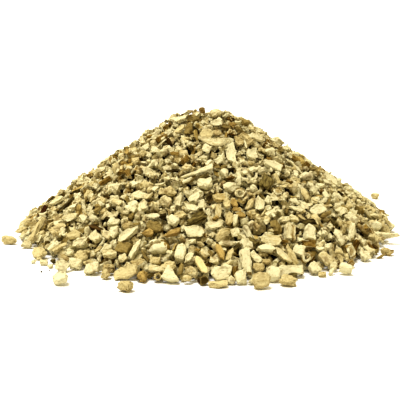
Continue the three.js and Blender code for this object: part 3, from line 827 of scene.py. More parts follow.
# More chips that can be told apart in the photo: where the middle is seen, in pixels, the length, width and
# thickness in mm, and the turn as seen. Facing is 0 for one that faces the slope's way, 1 for one that faces
# the camera and 0.5 where nothing is said. Lift raises one, in mm.
seenChips = {
    "dark splinter": chip(splitChunk, "brown", seen=(145, 256.5), size=(6.4, 1.8, 1.5), turn=-60, tone=0.7),
    "lumpy chunk": chip(pithLump, "tan", seen=(168, 265), size=(6.3, 5, 4), tone=0.2),
    "two-toned chunk": chip(cutBlock, "tan", seen=(155, 260.5), size=(4.2, 3, 3), tone=0.4),
    "flat chunk": chip(cutBlock, seen=(156.5, 268.5), size=(6.4, 2.8, 2.6), turn=-8, tone=0.45),
    "hollow root end": chip(rootRing, "tan", seen=(157.5, 276), size=(3.6, 3.2, 2.8), tone=0.5, facing=0.9),
    "brown shard": chip(cutBlock, "brown", seen=(181, 269.5), size=(4.6, 1.9, 1.8), turn=75, tone=0.4),
    "dark ring": chip(rootRing, "brown", seen=(141, 277.5), size=(3.4, 3, 2.6), tone=0.9, facing=1),
    "olive flake": chip(brokenFlake, "tan", seen=(138, 263), size=(5.6, 2.8, 1.6), turn=10, tone=0.6),
    "curved leaf": chip(leafFlake, "tan", seen=(230, 255), size=(5.8, 2.5, 2), turn=55, tone=0.15),
    "pale roof flake": chip(brokenFlake, seen=(227, 243.5), size=(6.9, 2.6, 1.8), turn=5),
    "chip on the block": chip(cutBlock, seen=(214, 260.5), size=(3.6, 2.8, 2.2), tone=0.4),
    "ringed knob": chip(rootSlice, "brown", seen=(203, 279.5), size=(4.4, 3.6, 3.4), tone=0.6, facing=0.9),
    "flat front chip": chip(brokenFlake, "tan", seen=(218, 286), size=(7.4, 4.6, 2.2), tone=0.2, facing=0),
    "small round chip": chip(pithLump, seen=(230.5, 279.5), size=(3.8, 3.8, 3.2), tone=0.3),
    "olive block": chip(cutBlock, seen=(204, 253.5), size=(4.2, 3, 2.6), turn=-35, tone=0.5),
    "curved wedge": chip(brokenFlake, seen=(189, 258), size=(5.2, 2.8, 2.2), turn=60, tone=0.2),
    "porous lump": chip(pithLump, seen=(191.5, 271), size=(4.6, 4.2, 3.4), tone=0.5),
    "low porous lump": chip(pithLump, seen=(187, 278), size=(3.8, 2.6, 2.4), tone=0.6),
    "teardrop": chip(pithLump, seen=(241, 280), size=(6.4, 5, 3.4), turn=80, tone=0.1),
    "tan lump": chip(pithLump, "tan", seen=(258.5, 266.5), size=(5, 3.8, 3.4), tone=0.5),
    "small tan lump": chip(pithLump, "tan", seen=(266.5, 261.5), size=(4.2, 2.8, 2.6), tone=0.5),
    "slanting wedge": chip(cutBlock, seen=(256, 257.5), size=(5.6, 3.2, 2.4), turn=-42, tone=0.2),
    "claw": chip(leafFlake, seen=(283, 255.5), size=(8.6, 2.8, 2.4), turn=-50, tone=0.35),
    "domed flake": chip(brokenFlake, seen=(270, 240), size=(9, 5, 3), turn=-10, tone=0.45),
    "grey striped stick": chip(splitChunk, "tan", seen=(291.5, 254.5), size=(8.8, 3.2, 2.6), turn=-62,
        tone=0.35, finish=dict(fibres=0.6)),
    "spotted block": chip(cutBlock, seen=(299.5, 249.5), size=(5.2, 5, 3.4), turn=-15, tone=0.15),
    "root ring": chip(rootRing, seen=(306.5, 257.5), size=(4.8, 3.8, 2.4), turn=60, tone=0.1, facing=1),
    "bow chip": chip(cutBlock, seen=(291.5, 270), size=(9.8, 4.6, 3.4), turn=4, tone=0.15),
    "middle wedge": chip(cutBlock, seen=(314.5, 268), size=(5, 4.2, 3), turn=-50, tone=0.15),
    "dark bits": chip(pithLump, "bark", seen=(291, 279), size=(5.4, 2.8, 2.2), turn=10, tone=0.4,
        skinned=True),
    "fibrous front lump": chip(splitChunk, "tan", seen=(288, 286), size=(7, 4.6, 3.6), turn=-15, tone=0.35),
    "fibrous stick": chip(splitChunk, seen=(339.5, 237), size=(7, 3.2, 2.6), turn=-58, tone=0.1),
    "right tan wedge": chip(cutBlock, seen=(326, 258), size=(6.2, 4.2, 3), turn=-40, tone=0.5),
    "greyish end": chip(rootSlice, "tan", seen=(351, 263), size=(3.8, 3.2, 3), tone=0.7),
    "ridge chip": chip(cutBlock, seen=(333, 265), size=(3.8, 3.4, 3), tone=0.4),
    "foot crumb": chip(cutBlock, "tan", seen=(322, 276), size=(3.2, 2, 1.8), tone=0.4),
    "disc crumb": chip(crumb, "tan", seen=(257, 289), size=(2.2, 1.8, 1.4), tone=0.3),
    "rootlet": chip(rootlet, "bark", seen=(179, 186), size=(7.2, 0.7, 0.5), turn=-22, tone=0.2, lift=1.6),
    "curled ring": chip(rootRing, seen=(240, 193), size=(4.7, 4.2, 2.6), tone=0.3, facing=1),
    "small triangle": chip(cutBlock, seen=(206.5, 148.5), size=(4, 3.8, 2.2), turn=-20, tone=0.1),
    "bright lump": chip(pithLump, seen=(231.5, 186), size=(6.8, 4.4, 3.4), turn=8, tone=0.0),
    "upright pale flake": chip(brokenFlake, seen=(178, 200.5), size=(5, 3.2, 2.2), turn=80, tone=0.1),
    "porous pale lump": chip(pithLump, seen=(165, 200.5), size=(5.4, 5, 3.8), tone=0.4),
    "rough tan lump": chip(pithLump, "tan", seen=(169.5, 190), size=(6.2, 4.6, 3.8), tone=0.3),
    "grey-green flake": chip(brokenFlake, seen=(219, 198), size=(5.6, 4, 2.2), tone=0.75),
    "orange almond": chip(leafFlake, "redBrown", seen=(234, 203.5), size=(4.4, 2.7, 2.2), turn=-60,
        tone=0.0),
    "small kite": chip(brokenFlake, seen=(203, 204.5), size=(3.8, 3.2, 2), turn=60, tone=0.1),
    "dark brown chip": chip(barkSliver, "bark", seen=(209.5, 196), size=(4, 3, 2), turn=40, tone=0.6),
    "tan oval": chip(leafFlake, "tan", seen=(181, 215), size=(6.2, 3.2, 2.2), turn=3, tone=0.3),
    "pale roof": chip(brokenFlake, seen=(154, 216.5), size=(6.2, 2.8, 2), turn=-3, tone=0.1),
    "brown mass": chip(pithLump, "brown", seen=(154, 225.5), size=(7.6, 5, 4), turn=-20, tone=0.35,
        finish=dict(uneven=1.1, edge=0.4, fibres=0.3)),
    "orange-brown chunk": chip(pithLump, "redBrown", seen=(147, 231), size=(5, 3.8, 3.2), tone=0.35),
    "rim splinter": chip(splinter, seen=(206.5, 215.5), size=(6.4, 1.5, 1.2), turn=-66, tone=0.05),
    "bark's pale edge": chip(splinter, seen=(196, 210.5), size=(6, 1.3, 1.2), turn=30, tone=0.2),
    "spotted pale flake": chip(brokenFlake, seen=(214, 225), size=(7.2, 3.4, 2.2), turn=4, tone=0.2),
    "bright tile": chip(brokenFlake, seen=(253.5, 188.5), size=(3.6, 3, 2), turn=-20, tone=0.0),
    "leaning strip": chip(splitChunk, seen=(250.5, 203.5), size=(6.4, 2.6, 2.2), turn=62, tone=0.6),
    "broad upright flake": chip(brokenFlake, seen=(259.5, 203), size=(6.2, 4.4, 2.4), turn=80, tone=0.2),
    "white tip": chip(cutBlock, seen=(267.5, 200), size=(3.4, 2.3, 2), turn=60, tone=0.0),
    "red-brown bit": chip(cutBlock, "redBrown", seen=(236.5, 210), size=(3.6, 2, 1.8), tone=0.5),
    "red-brown flake": chip(brokenFlake, "redBrown", seen=(241, 215), size=(4.2, 2.2, 1.8), turn=-10,
        tone=0.4),
    "pinkish slab": chip(brokenFlake, "tan", seen=(229, 218.5), size=(5.6, 3.6, 2.6), turn=80, tone=0.5),
    "pale post": chip(cutBlock, seen=(235.5, 220), size=(5.2, 2.1, 2), turn=85, tone=0.05),
    "sliver's dark side": chip(barkSliver, "bark", seen=(203.5, 176.5), size=(4.4, 2.2, 1.6), turn=26,
        tone=0.3),
    "thin dark strip": chip(splitChunk, "bark", seen=(173, 171.5), size=(6.2, 1.4, 1.2), turn=3, tone=0.6,
        skinned=True),
    "left crown lump": chip(pithLump, "brown", seen=(193, 118), size=(5.4, 4, 3.4), tone=0.5),
    "crown kite": chip(brokenFlake, seen=(216, 122.5), size=(5.6, 3.8, 2.2), turn=10, tone=0.1),
    "crown brown bit": chip(cutBlock, "brown", seen=(226, 127), size=(4.2, 2.4, 2), turn=-10, tone=0.6),
    "crown red bit": chip(pithLump, "redBrown", seen=(233, 124.5), size=(4.4, 3, 2.4), turn=20, tone=0.7),
    "crown dark bit": chip(pithLump, "brown", seen=(238.5, 129.5), size=(4, 2.8, 2.2), turn=-30, tone=0.6),
    "olive curl": chip(curl, "brown", seen=(188.5, 128.5), size=(6.2, 3.6, 2.6), turn=80, tone=0.4),
    "crown tan lump": chip(pithLump, "tan", seen=(218, 132), size=(4.2, 3.6, 3), tone=0.4),
    "lobed leaf": chip(leafFlake, "tan", seen=(238, 141), size=(5.4, 3.6, 2), turn=-48, tone=0.55),
    "crown arch": chip(leafFlake, seen=(256, 137.5), size=(8.6, 3, 2.2), turn=-16, tone=0.35),
    "white line": chip(splinter, seen=(245, 145), size=(4, 1.1, 1), turn=-75, tone=0.0),
    "red-brown bark": chip(barkSliver, "redBrown", seen=(43, 211.5), size=(6.8, 2.6, 1.6), turn=66,
        tone=0.8),
    "top left flake": chip(brokenFlake, seen=(57, 201.5), size=(6.8, 3.4, 2.2), turn=24, tone=0.3),
    "left leaf": chip(leafFlake, "tan", seen=(22, 230), size=(6.4, 2.4, 1.8), turn=8, tone=0.3),
    "left rough lump": chip(pithLump, seen=(28, 221.5), size=(4.8, 4.4, 3.4), tone=0.6),
    "left foot chip": chip(cutBlock, seen=(26, 243.5), size=(4.8, 3, 2.6), tone=0.4),
    "left rod": chip(splitChunk, "tan", seen=(59, 247.5), size=(7.6, 2.4, 2.2), turn=24, tone=0.3),
    "white round lump": chip(pithLump, seen=(69, 252), size=(3.7, 3.5, 3), tone=0.0),
    "round tan lump": chip(pithLump, "tan", seen=(80, 254.5), size=(5.8, 5.2, 4), tone=0.1),
    "orange-tan flake": chip(brokenFlake, "tan", seen=(73, 235), size=(6.6, 3.8, 2.2), turn=8, tone=0.0),
    "white-ended chunk": chip(pithLump, seen=(80, 241.5), size=(7.6, 5, 4), turn=24, tone=0.2, skinSide=0),
    "fan flake": chip(splitChunk, seen=(95, 236.5), size=(5.4, 4.8, 2.6), turn=-60, tone=0.3),
    "egg-shaped lump": chip(pithLump, seen=(113.5, 231), size=(5.8, 4.2, 3.4), turn=80, tone=0.15),
    "curved tan strip": chip(leafFlake, seen=(106, 234.5), size=(5.4, 3, 2.2), turn=-52, tone=0.4),
    "white left lump": chip(pithLump, seen=(112.5, 220.5), size=(5.4, 4.8, 3.6), turn=40, tone=0.0),
    "white lump": chip(pithLump, seen=(82.5, 218), size=(4.6, 4.6, 3.4), tone=0.05),
    "white lump's mate": chip(pithLump, seen=(93, 218), size=(3.9, 3.7, 3), tone=0.05),
    "flat left chip": chip(brokenFlake, seen=(70, 217.5), size=(7.4, 3.8, 2.4), turn=5, tone=0.35),
    "left foot block": chip(cutBlock, seen=(75, 265.5), size=(5.4, 4.4, 3.4), turn=-5, tone=0.2),
    "left foot lump": chip(cutBlock, seen=(91, 271.5), size=(6.2, 4.4, 3.6), turn=8, tone=0.2),
    "rough cluster": chip(pithLump, "tan", seen=(108, 267), size=(5, 4.4, 4), tone=0.5,
        finish=dict(uneven=1.4, facets=3)),
    "rough cluster's foot": chip(pithLump, "tan", seen=(106, 277), size=(4.6, 3.6, 3.4), turn=60, tone=0.35,
        finish=dict(uneven=1.3, facets=3)),
    "lined block": chip(splitChunk, seen=(109, 253.5), size=(6, 3.8, 3.2), turn=8, tone=0.4),
    "block's mate": chip(cutBlock, seen=(108, 246.5), size=(4.2, 3.4, 3), tone=0.3),
    "small rod": chip(splitChunk, "tan", seen=(98.5, 249.5), size=(4, 1.8, 1.6), turn=42, tone=0.3),
    "upper left flake": chip(brokenFlake, seen=(62.5, 272), size=(5.8, 5.4, 2.6), tone=0.1, outline=[
        (0.6, -0.6), (1, 0.3), (0.2, 1), (-0.8, 0.7), (-1, -0.5), (-0.1, -1)]),
    "dust 1": chip(crumb, seen=(34, 263.5), size=(2.4, 2, 1.6), tone=0.2),
    "dust 2": chip(cutBlock, seen=(44, 265.5), size=(3.4, 2.4, 2), tone=0.3),
    "dust 3": chip(crumb, seen=(50.5, 268.5), size=(2.6, 2, 1.6), tone=0.3),
    "dust 4": chip(crumb, "tan", seen=(39, 259.5), size=(2.2, 1.8, 1.4), tone=0.2),
    "dark speck 1": chip(crumb, "bark", seen=(41.5, 272.5), size=(0.8, 0.7, 0.6), tone=0.8, skinned=True),
    "dark speck 2": chip(crumb, "bark", seen=(49.5, 271), size=(0.6, 0.5, 0.4), tone=0.8, skinned=True),
    "dark left bit": chip(pithLump, "bark", seen=(53.5, 261.5), size=(2.4, 2.2, 1.8), tone=0.3,
        skinned=True),
    "right outline slab": chip(brokenFlake, seen=(331, 178.5), size=(8, 5, 2.6), turn=-42, tone=0.1),
    "right small flake": chip(leafFlake, seen=(327, 183), size=(4.8, 2.2, 1.6), turn=-24, tone=0.0),
    "white bean": chip(pithLump, seen=(294.5, 200.5), size=(5, 3, 2.4), turn=-24, tone=0.0),
    "brown-edged flake": chip(brokenFlake, seen=(318, 209.5), size=(7.4, 4.4, 2.6), turn=24, tone=0.1),
    "brown edge": chip(splitChunk, "brown", seen=(326, 214.5), size=(5.4, 2, 1.6), turn=28, tone=0.2),
    "grey-green strip": chip(splitChunk, "bark", seen=(308, 221.5), size=(7.6, 2.1, 1.8), tone=0.5,
        skinned=True),
    "arched right flake": chip(leafFlake, seen=(296, 208.5), size=(7.6, 2.8, 2), turn=-4),
    "round right knob": chip(pithLump, seen=(294.5, 217), size=(5, 4, 3.6), tone=0.4),
    "knob's mate": chip(splitChunk, seen=(284.5, 219.5), size=(5, 2.8, 2.4), turn=20, tone=0.3),
    "right pale post": chip(pithLump, seen=(313, 187), size=(6.4, 4, 3.2), turn=-65, tone=0.1),
    "right tan post": chip(splitChunk, "tan", seen=(304.5, 194), size=(5.6, 3, 2.6), turn=-70, tone=0.3),
    "right white top": chip(pithLump, seen=(306, 175), size=(6.2, 3.6, 3), turn=10, tone=0.0),
    "right white flake": chip(brokenFlake, seen=(325.5, 195), size=(4, 2.8, 2.2), turn=-60, tone=0.1),
    "right pale lump": chip(pithLump, seen=(338, 196), size=(5.4, 4.8, 3.6), tone=0.2),
    "right arch": chip(curl, seen=(340.5, 209), size=(6, 4.4, 3), turn=-50, tone=0.3),
    "right pale slab": chip(brokenFlake, seen=(352, 218), size=(6.6, 5, 2.8), turn=-55, tone=0.2),
    "grey tip": chip(crumb, "bark", seen=(358.5, 199), size=(2.2, 1.8, 1.6), tone=0.2, skinned=True),
    "right foot stray": chip(pithLump, "tan", seen=(387, 255), size=(5.6, 3.6, 3), turn=-12, tone=0.6),
    "stray's tail": chip(splitChunk, "brown", seen=(380.5, 257), size=(3.6, 1.4, 1.2), turn=28, tone=0.3),
    "right white cluster": chip(pithLump, seen=(366.5, 255), size=(5.4, 4.6, 4), tone=0.1),
}


# How a chip of these kinds is finished where it is placed one by one: how sharp its edges are (less is
# sharper), how many facets it has, how far its middle is dished, how far it curls, and in mm how uneven
# it is and how deep its fibres are
finishes = {
    pithLump: dict(edge=0.6, facets=7, dish=0.0, curl=0.0, uneven=0.75, fibres=0.0),
    cutBlock: dict(edge=0.3, facets=3, dish=0.1, curl=0.0, uneven=0.45, fibres=0.05),
    splitChunk: dict(edge=0.4, facets=3, dish=0.1, curl=0.3, uneven=0.4, fibres=0.35),
    brokenFlake: dict(edge=0.25, facets=3, dish=0.4, curl=0.5, uneven=0.55, fibres=0.1),
    leafFlake: dict(edge=0.4, facets=1, dish=0.5, curl=0.7, uneven=0.4, fibres=0.1),
}
usualOutlines = {
    pithLump: [(1, -0.3), (0.8, 0.7), (-0.1, 1), (-0.9, 0.6), (-1, -0.4), (-0.3, -1), (0.6, -0.9)],
    cutBlock: [(1, 0.8), (-0.9, 1), (-1, -0.8), (0.8, -1)],
    splitChunk: [(1, 0.4), (0.4, 1), (-0.9, 0.8), (-1, -0.5), (-0.2, -1), (0.9, -0.7)],
    brokenFlake: [(1, 0.1), (0.6, 0.9), (-0.3, 1), (-1, 0.4), (-0.7, -0.8), (0.1, -1), (0.8, -0.7)],
    leafFlake: [(1, 0.1), (0.3, 0.9), (-0.5, 0.8), (-1, 0), (-0.4, -1), (0.4, -0.8)],
}
byHand = {
    "fineness": 4,                # subdivisions of the ball that a chip is shaped from
    "outlinePull": (0.6, 1),      # of a usual outline's corners, towards the middle
    "ring": (0.1, 14),            # how dark the rings of a cut end are, and how close
    "pressed": (0.7, 0.92),
    "fibreWaves": (0.15, 1.3),    # for each mm along the chip, and across it
    "grains": ((1.0, 2.2), (0.45, 0.9), (0.25, 0.45)),   # share of the unevenness, size in mm
    "skinFacing": 0.5,            # the least share of a face's normal towards the side with skin
    "feelers": 700,
    "standOut": 1.0,              # mm that the outer side of a chip seen lies above the slope
}


def usualOutline(make, rng):
    pull = byHand["outlinePull"]
    return [(x * rng.uniform(*pull), y * rng.uniform(*pull)) for x, y in usualOutlines[make]]


def shapedChip(facts, rng, size):
    finish = {**finishes[facts["make"]], **facts.get("finish", {})}
    turns, reaches = outlineReach(facts.get("outline") or usualOutline(facts["make"], rng))
    bm = newShape()
    bmesh.ops.create_icosphere(bm, subdivisions=byHand["fineness"], radius=1)
    shade = bm.verts.layers.float["shade"]
    edge = finish["edge"]
    ringDepth, ringWaves = byHand["ring"]
    for vert in bm.verts:
        breadth = max(vert.co.xy.length, 0.01)
        reach = np.interp(math.atan2(vert.co.y, vert.co.x), turns, reaches)
        vert.co.xy *= reach * breadth ** (edge - 1)
        vert.co.z = math.copysign(abs(vert.co.z) ** edge, vert.co.z)
        vert.co.z += finish["dish"] * (vert.co.xy.length_squared / reach ** 2 - 0.5)
        if facts.get("ringed") and vert.co.z > 0:
            vert[shade] = ringDepth + ringDepth * math.cos(vert.co.xy.length * ringWaves)
    stretch(bm, *(size / size[0] / 2))
    for _ in range(finish["facets"]):
        flatten(bm, anyDirection(rng), rng.uniform(*byHand["pressed"]))
    unit = mm / size[0]
    start = rng.uniform(-noiseReach, noiseReach)
    wavesAlong, wavesAcross = byHand["fibreWaves"]
    for vert in bm.verts:
        along = wavesAlong * vert.co.x / unit + start
        fibre = noise.noise(Vector((along, *vert.co.yz * (wavesAcross / unit))))
        vert.co += vert.co.normalized() * fibre * finish["fibres"] * 2 * unit
    for share, grainSize in byHand["grains"]:
        roughen(bm, rng, finish["uneven"] * share * unit, grainSize * unit)
    bend(bm, rng.uniform(-1, 1) * finish["curl"], rng.uniform(-1, 1) * finish["curl"])
    return bm


# A chip's arrays, made to the particulars that its line gives
def shapeChip(facts, rng, size):
    bm = shapedChip(facts, rng, size) if facts["make"] in finishes else facts["make"](rng, 2)
    if "crack" in facts:
        turn, place = facts["crack"]
        crackOpen(bm, levelDirection(turn), place)
    # A hole in the flat side, darkened with painted shade at its bottom
    if facts.get("holed"):
        dent(bm, Vector((0, 0, 1)), **holeForm)
    if facts.get("skinned"):
        paintSkin(bm, bm.faces)
    if "skinSide" in facts:
        side = levelDirection(facts["skinSide"])
        bm.normal_update()
        paintSkin(bm, [face for face in bm.faces if face.normal.dot(side) > byHand["skinFacing"]])
    return readShape(bm, rng, byHand["feelers"])


# The middle and the size of a solid along the axes that its chip has
def solidFit(name, facts):
    points = np.array([vert.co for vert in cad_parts[name].data.vertices])
    x, y = (points.max(0) + points.min(0))[:2] / 2
    axes = slopeLie(x, y, math.radians(facts["turn"]), math.radians(facts.get("pitch", 0)))
    along = points @ axes
    low, high = along.min(0), along.max(0)
    return axes, axes @ ((low + high) / 2), high - low


# The middle and the axes of a chip seen in the photo
def seenFit(facts):
    place = placeSeen(*facts["seen"])
    slopeOut = slopeAxes(place.x, place.y).col[2]
    towardsCamera = (cameraPlace - place).normalized()
    out = slopeOut.lerp(towardsCamera, facts.get("facing", 0.5)).normalized()
    right = (cameraTurn.col[0] - out * cameraTurn.col[0].dot(out)).normalized()
    axes = Matrix((right, out.cross(right), out)).transposed()
    axes = axes @ Matrix.Rotation(math.radians(facts["turn"]), 3, "Z")
    size = np.array(facts["size"]) * mm
    above = (byHand["standOut"] + facts.get("lift", 0)) * mm - size[2] / 2
    return np.array(axes), np.array(place + slopeOut * above), size


# The chip so placed rests on the floor where it would reach through it, and keeps the loose ones beneath it.
def layByHand(facts, rng, axes, centre, size):
    shape = shapeChip(facts, rng, size)
    scale = size / np.ptp(shape["points"], axis=0)
    lie = axes * scale
    lowest = (shape["points"] @ lie[2]).min() + centre[2]
    onFloor = math.hypot(*centre[:2]) > heapForm["footRadius"] and "seen" in facts
    centre[2] -= lowest if onFloor else min(lowest, 0)
    felt = shape["feelers"] @ lie.T + centre
    np.minimum.at(underside, cellsAt(felt), felt[:, 2])
    return dict(kind=facts["make"], shape=shape, lie=lie, at=centre, size=scale, tone=facts["tone"])


print("Placing the chips that stand out")
standingChips = {}
for number, (name, facts) in enumerate(standing.items()):
    rng = np.random.default_rng(500 + number)
    standingChips[name] = layByHand(facts, rng, *solidFit(name, facts))
for number, facts in enumerate(seenChips.values()):
    rng = np.random.default_rng(700 + number)
    looseChips[facts["wood"]].append(layByHand(facts, rng, *seenFit(facts)))


# How long the chips are, as shares of their usual length: finer at the crown than at the foot
cutSizes = {"atCrown": 0.62, "more": 0.75, "curve": 1.3}


def cutLength(x, y):
    run = math.hypot(x, y) / heapForm["footRadius"]
    return cutSizes["atCrown"] + cutSizes["more"] * run ** cutSizes["curve"]


print("Letting the chips fall")
rng = np.random.default_rng(21)
deep = slopeWanted - heapForm["looseLayer"]
under = slopeWanted - heapForm["shownLayer"]
pits = np.where(slopeWanted > heapForm["crumbsFrom"], slopeWanted - heapForm["crumbDepth"], 0)

# The layers from the inside out. Looseness says how far below or above the wanted height a chip may end,
# pressed how many of its feelers sink in, and room how much lower a place must be to take one.
layers = {
    "inside": dict(wanted=deep, kinds=insideKinds, detail=0, looseness=(-0.5 * mm, 0.5 * mm), pressed=20,
                   room=1.5 * mm, scale=lambda x, y: 1.0, bucket="inside"),
    "under": dict(wanted=under, kinds=chipKinds, detail=0, looseness=(-0.3 * mm, 1.0 * mm), pressed=20,
                  room=1.3 * mm, scale=cutLength),
    "shown": dict(wanted=slopeWanted, kinds=chipKinds, detail=1, looseness=(-0.6 * mm, 2.6 * mm), pressed=20,
                  room=1.3 * mm, scale=cutLength),
    "crumbs": dict(wanted=pits, kinds=crumbKinds, detail=0, looseness=(-0.4 * mm, 0.6 * mm), pressed=14,
                   room=0.9 * mm, scale=cutLength, bucket="crumb", most=900),
}
for name, layer in layers.items():
    print("  ", name, pourChips(rng, **layer))


# One mesh of many chips, with the attributes and the map that their material and its baking read
def joinChips(name, chips, sharpFrom=24, grainReach=60):
    tiles = math.ceil(math.sqrt(len(chips)))
    points, corners, skin, squares, grain, tone, shade = [], [], [], [], [], [], []
    count = 0
    shift = np.random.default_rng(len(chips)).uniform(-grainReach, grainReach, (len(chips), 3))
    for number, laid in enumerate(chips):
        shape = laid["shape"]
        points.append(shape["points"] @ laid["lie"].T + laid["at"])
        corners.append(shape["corners"] + count)
        skin.append(shape["skin"])
        squares.append((shape["square"] + (number % tiles, number // tiles)) / tiles)
        grain.append(shape["points"] * laid["size"] / mm + shift[number])
        tone.append(np.full(len(shape["points"]), laid["tone"]))
        shade.append(shape["shade"])
        count += len(shape["points"])
    points, corners = np.concatenate(points), np.concatenate(corners)
    mesh = bpy.data.meshes.new(name)
    mesh.vertices.add(len(points))
    mesh.vertices.foreach_set("co", points.ravel())
    mesh.loops.add(corners.size)
    mesh.loops.foreach_set("vertex_index", corners.ravel())
    mesh.polygons.add(len(corners))
    mesh.polygons.foreach_set("loop_start", np.arange(0, corners.size, 3))
    mesh.update(calc_edges=True)
    grainMark = mesh.attributes.new("grain", "FLOAT_VECTOR", "POINT")
    grainMark.data.foreach_set("vector", np.concatenate(grain).ravel())
    for mark, domain, values in (("tone", "POINT", tone), ("shade", "POINT", shade), ("skin", "FACE", skin)):
        mesh.attributes.new(mark, "FLOAT", domain).data.foreach_set("value", np.concatenate(values))
    mesh.uv_layers.new(name="OFBake").uv.foreach_set("vector", np.concatenate(squares).ravel())
    mesh.shade_smooth()
    mesh.set_sharp_from_angle(angle=math.radians(sharpFrom))
    piece = bpy.data.objects.new(name, mesh)
    bpy.context.scene.collection.objects.link(piece)
    return piece


def addNode(tree, kind, inputs=None, **settings):
    made = tree.nodes.new(kind)
    for name, value in settings.items():
        setattr(made, name, value)
    for name, value in (inputs or {}).items():
        if isinstance(value, bpy.types.NodeSocket):
            tree.links.new(value, made.inputs[name])
        else:
            made.inputs[name].default_value = value
    return made


def mathNode(tree, operation, first, second=0.0, clamp=False):
    made = addNode(tree, "ShaderNodeMath", {0: first, 1: second}, operation=operation, use_clamp=clamp)
    return made.outputs[0]


def mixNode(tree, factor, first, second):
    made = addNode(tree, "ShaderNodeMix", data_type="RGBA")
    for socket, value in zip((made.inputs[0], made.inputs[6], made.inputs[7]), (factor, first, second)):
        if isinstance(value, bpy.types.NodeSocket):
            tree.links.new(value, socket)
        else:
            socket.default_value = value
    return made.outputs[2]


def noiseNode(tree, vector, scale, detail=3.0, roughness=0.55):
    inputs = {"Vector": vector, "Scale": scale, "Detail": detail, "Roughness": roughness}
    return addNode(tree, "ShaderNodeTexNoise", inputs).outputs[0]


def rangeNode(tree, value, low, high, toLow=0.0, toHigh=1.0):
    inputs = {"Value": value, "From Min": low, "From Max": high, "To Min": toLow, "To Max": toHigh}
    return addNode(tree, "ShaderNodeMapRange", inputs).outputs[0]


def markNode(tree, name, output="Fac"):
    return addNode(tree, "ShaderNodeAttribute", attribute_name=name).outputs[output]


def colour(code):
    channels = [int(code[i:i + 2], 16) / 255 for i in (1, 3, 5)]
    return (*[c / 12.92 if c < 0.04045 else ((c + 0.055) / 1.055) ** 2.4 for c in channels], 1.0)


# Each wood's stain colour serves its real stains and also the painted shade of pits, cracks, holes and
# hollows
woods = {
    "pale": dict(slot="pale_wood", light="#dcd5b0", dark="#b09650", stainAndShade="#6a4a12", skinLight="#b0985a",
                 skinDark="#6a5222", blotches=1.3, fibres=1.1, pores=0.5, stained=0.5),
    "tan": dict(slot="tan_wood", light="#cfc294", dark="#8c7236", stainAndShade="#5a3a06", skinLight="#977a3c",
                skinDark="#4c3814", blotches=1.5, fibres=1.2, pores=0.5, stained=0.55),
    "yellow": dict(slot="tan_wood", light="#ded09c", dark="#b5984e", stainAndShade="#7a6028", skinLight="#9c8249",
                   skinDark="#50401f", blotches=0.8, fibres=0.9, pores=0.1, stained=0.2),
    "brown": dict(slot="brown_wood", light="#9f8d5a", dark="#4e4220", stainAndShade="#3a2a08", skinLight="#7a6238",
                  skinDark="#36260e", blotches=1.2, fibres=1.2, pores=0.4, stained=0.5),
    "redBrown": dict(slot="red_brown_wood", light="#b9a268", dark="#6e5528", stainAndShade="#50360e",
                     skinLight="#8a5c30", skinDark="#3f2409", blotches=1.2, fibres=1.4, pores=0.3,
                     stained=0.4),
    "bark": dict(slot="bark", light="#c0ac70", dark="#7e673a", stainAndShade="#5a421c", skinLight="#908250",
                 skinDark="#3a2f16", blotches=1.2, fibres=1.0, pores=0.4, stained=0.4),
}
plainWoods = {   # of the small and the hidden chips, whose surface is too fine to see
    "crumb": dict(light="#d8d0a8", dark="#7c6838"),
    # The hidden chips inside are painted near black: painted shade that makes the gaps between the chips
    # look deep
    "inside": dict(light="#4a3204", dark="#201400"),
}
surface = {"bumpStrength": 1.0, "bumpDistance": 0.5 * mm, "specular": 0.08, "plainRoughness": 0.85}
# The inputs of the group for dried root, and what each is called in the woods
groupInputs = {
    "Light wood": "light", "Dark wood": "dark", "Stain and shade": "stainAndShade", "Light skin": "skinLight",
    "Dark skin": "skinDark", "Blotches": "blotches", "Fibres": "fibres", "Pores": "pores",
    "Stained": "stained",
}
# Scales are waves for each mm. Edges are where in the noise a mark begins and where it is full.
rootGrain = {
    "fibreScales": (0.28, 1.6, 1.6), "fibreRoughness": 0.65, "blotchScale": 0.6, "blotchRoughness": 0.8,
    "middle": 0.57, "poreScale": 1.5, "poreEdge": (0.1, 0.32), "poreDepth": 0.9, "stainScale": 0.23,
    "stainEdge": (0.56, 0.68), "paintedShadeAndRingPull": 0.7, "skinEdge": (0.3, 0.62), "roughnessEdge": (0.3, 0.7),
    "roughness": (0.62, 0.86),
}


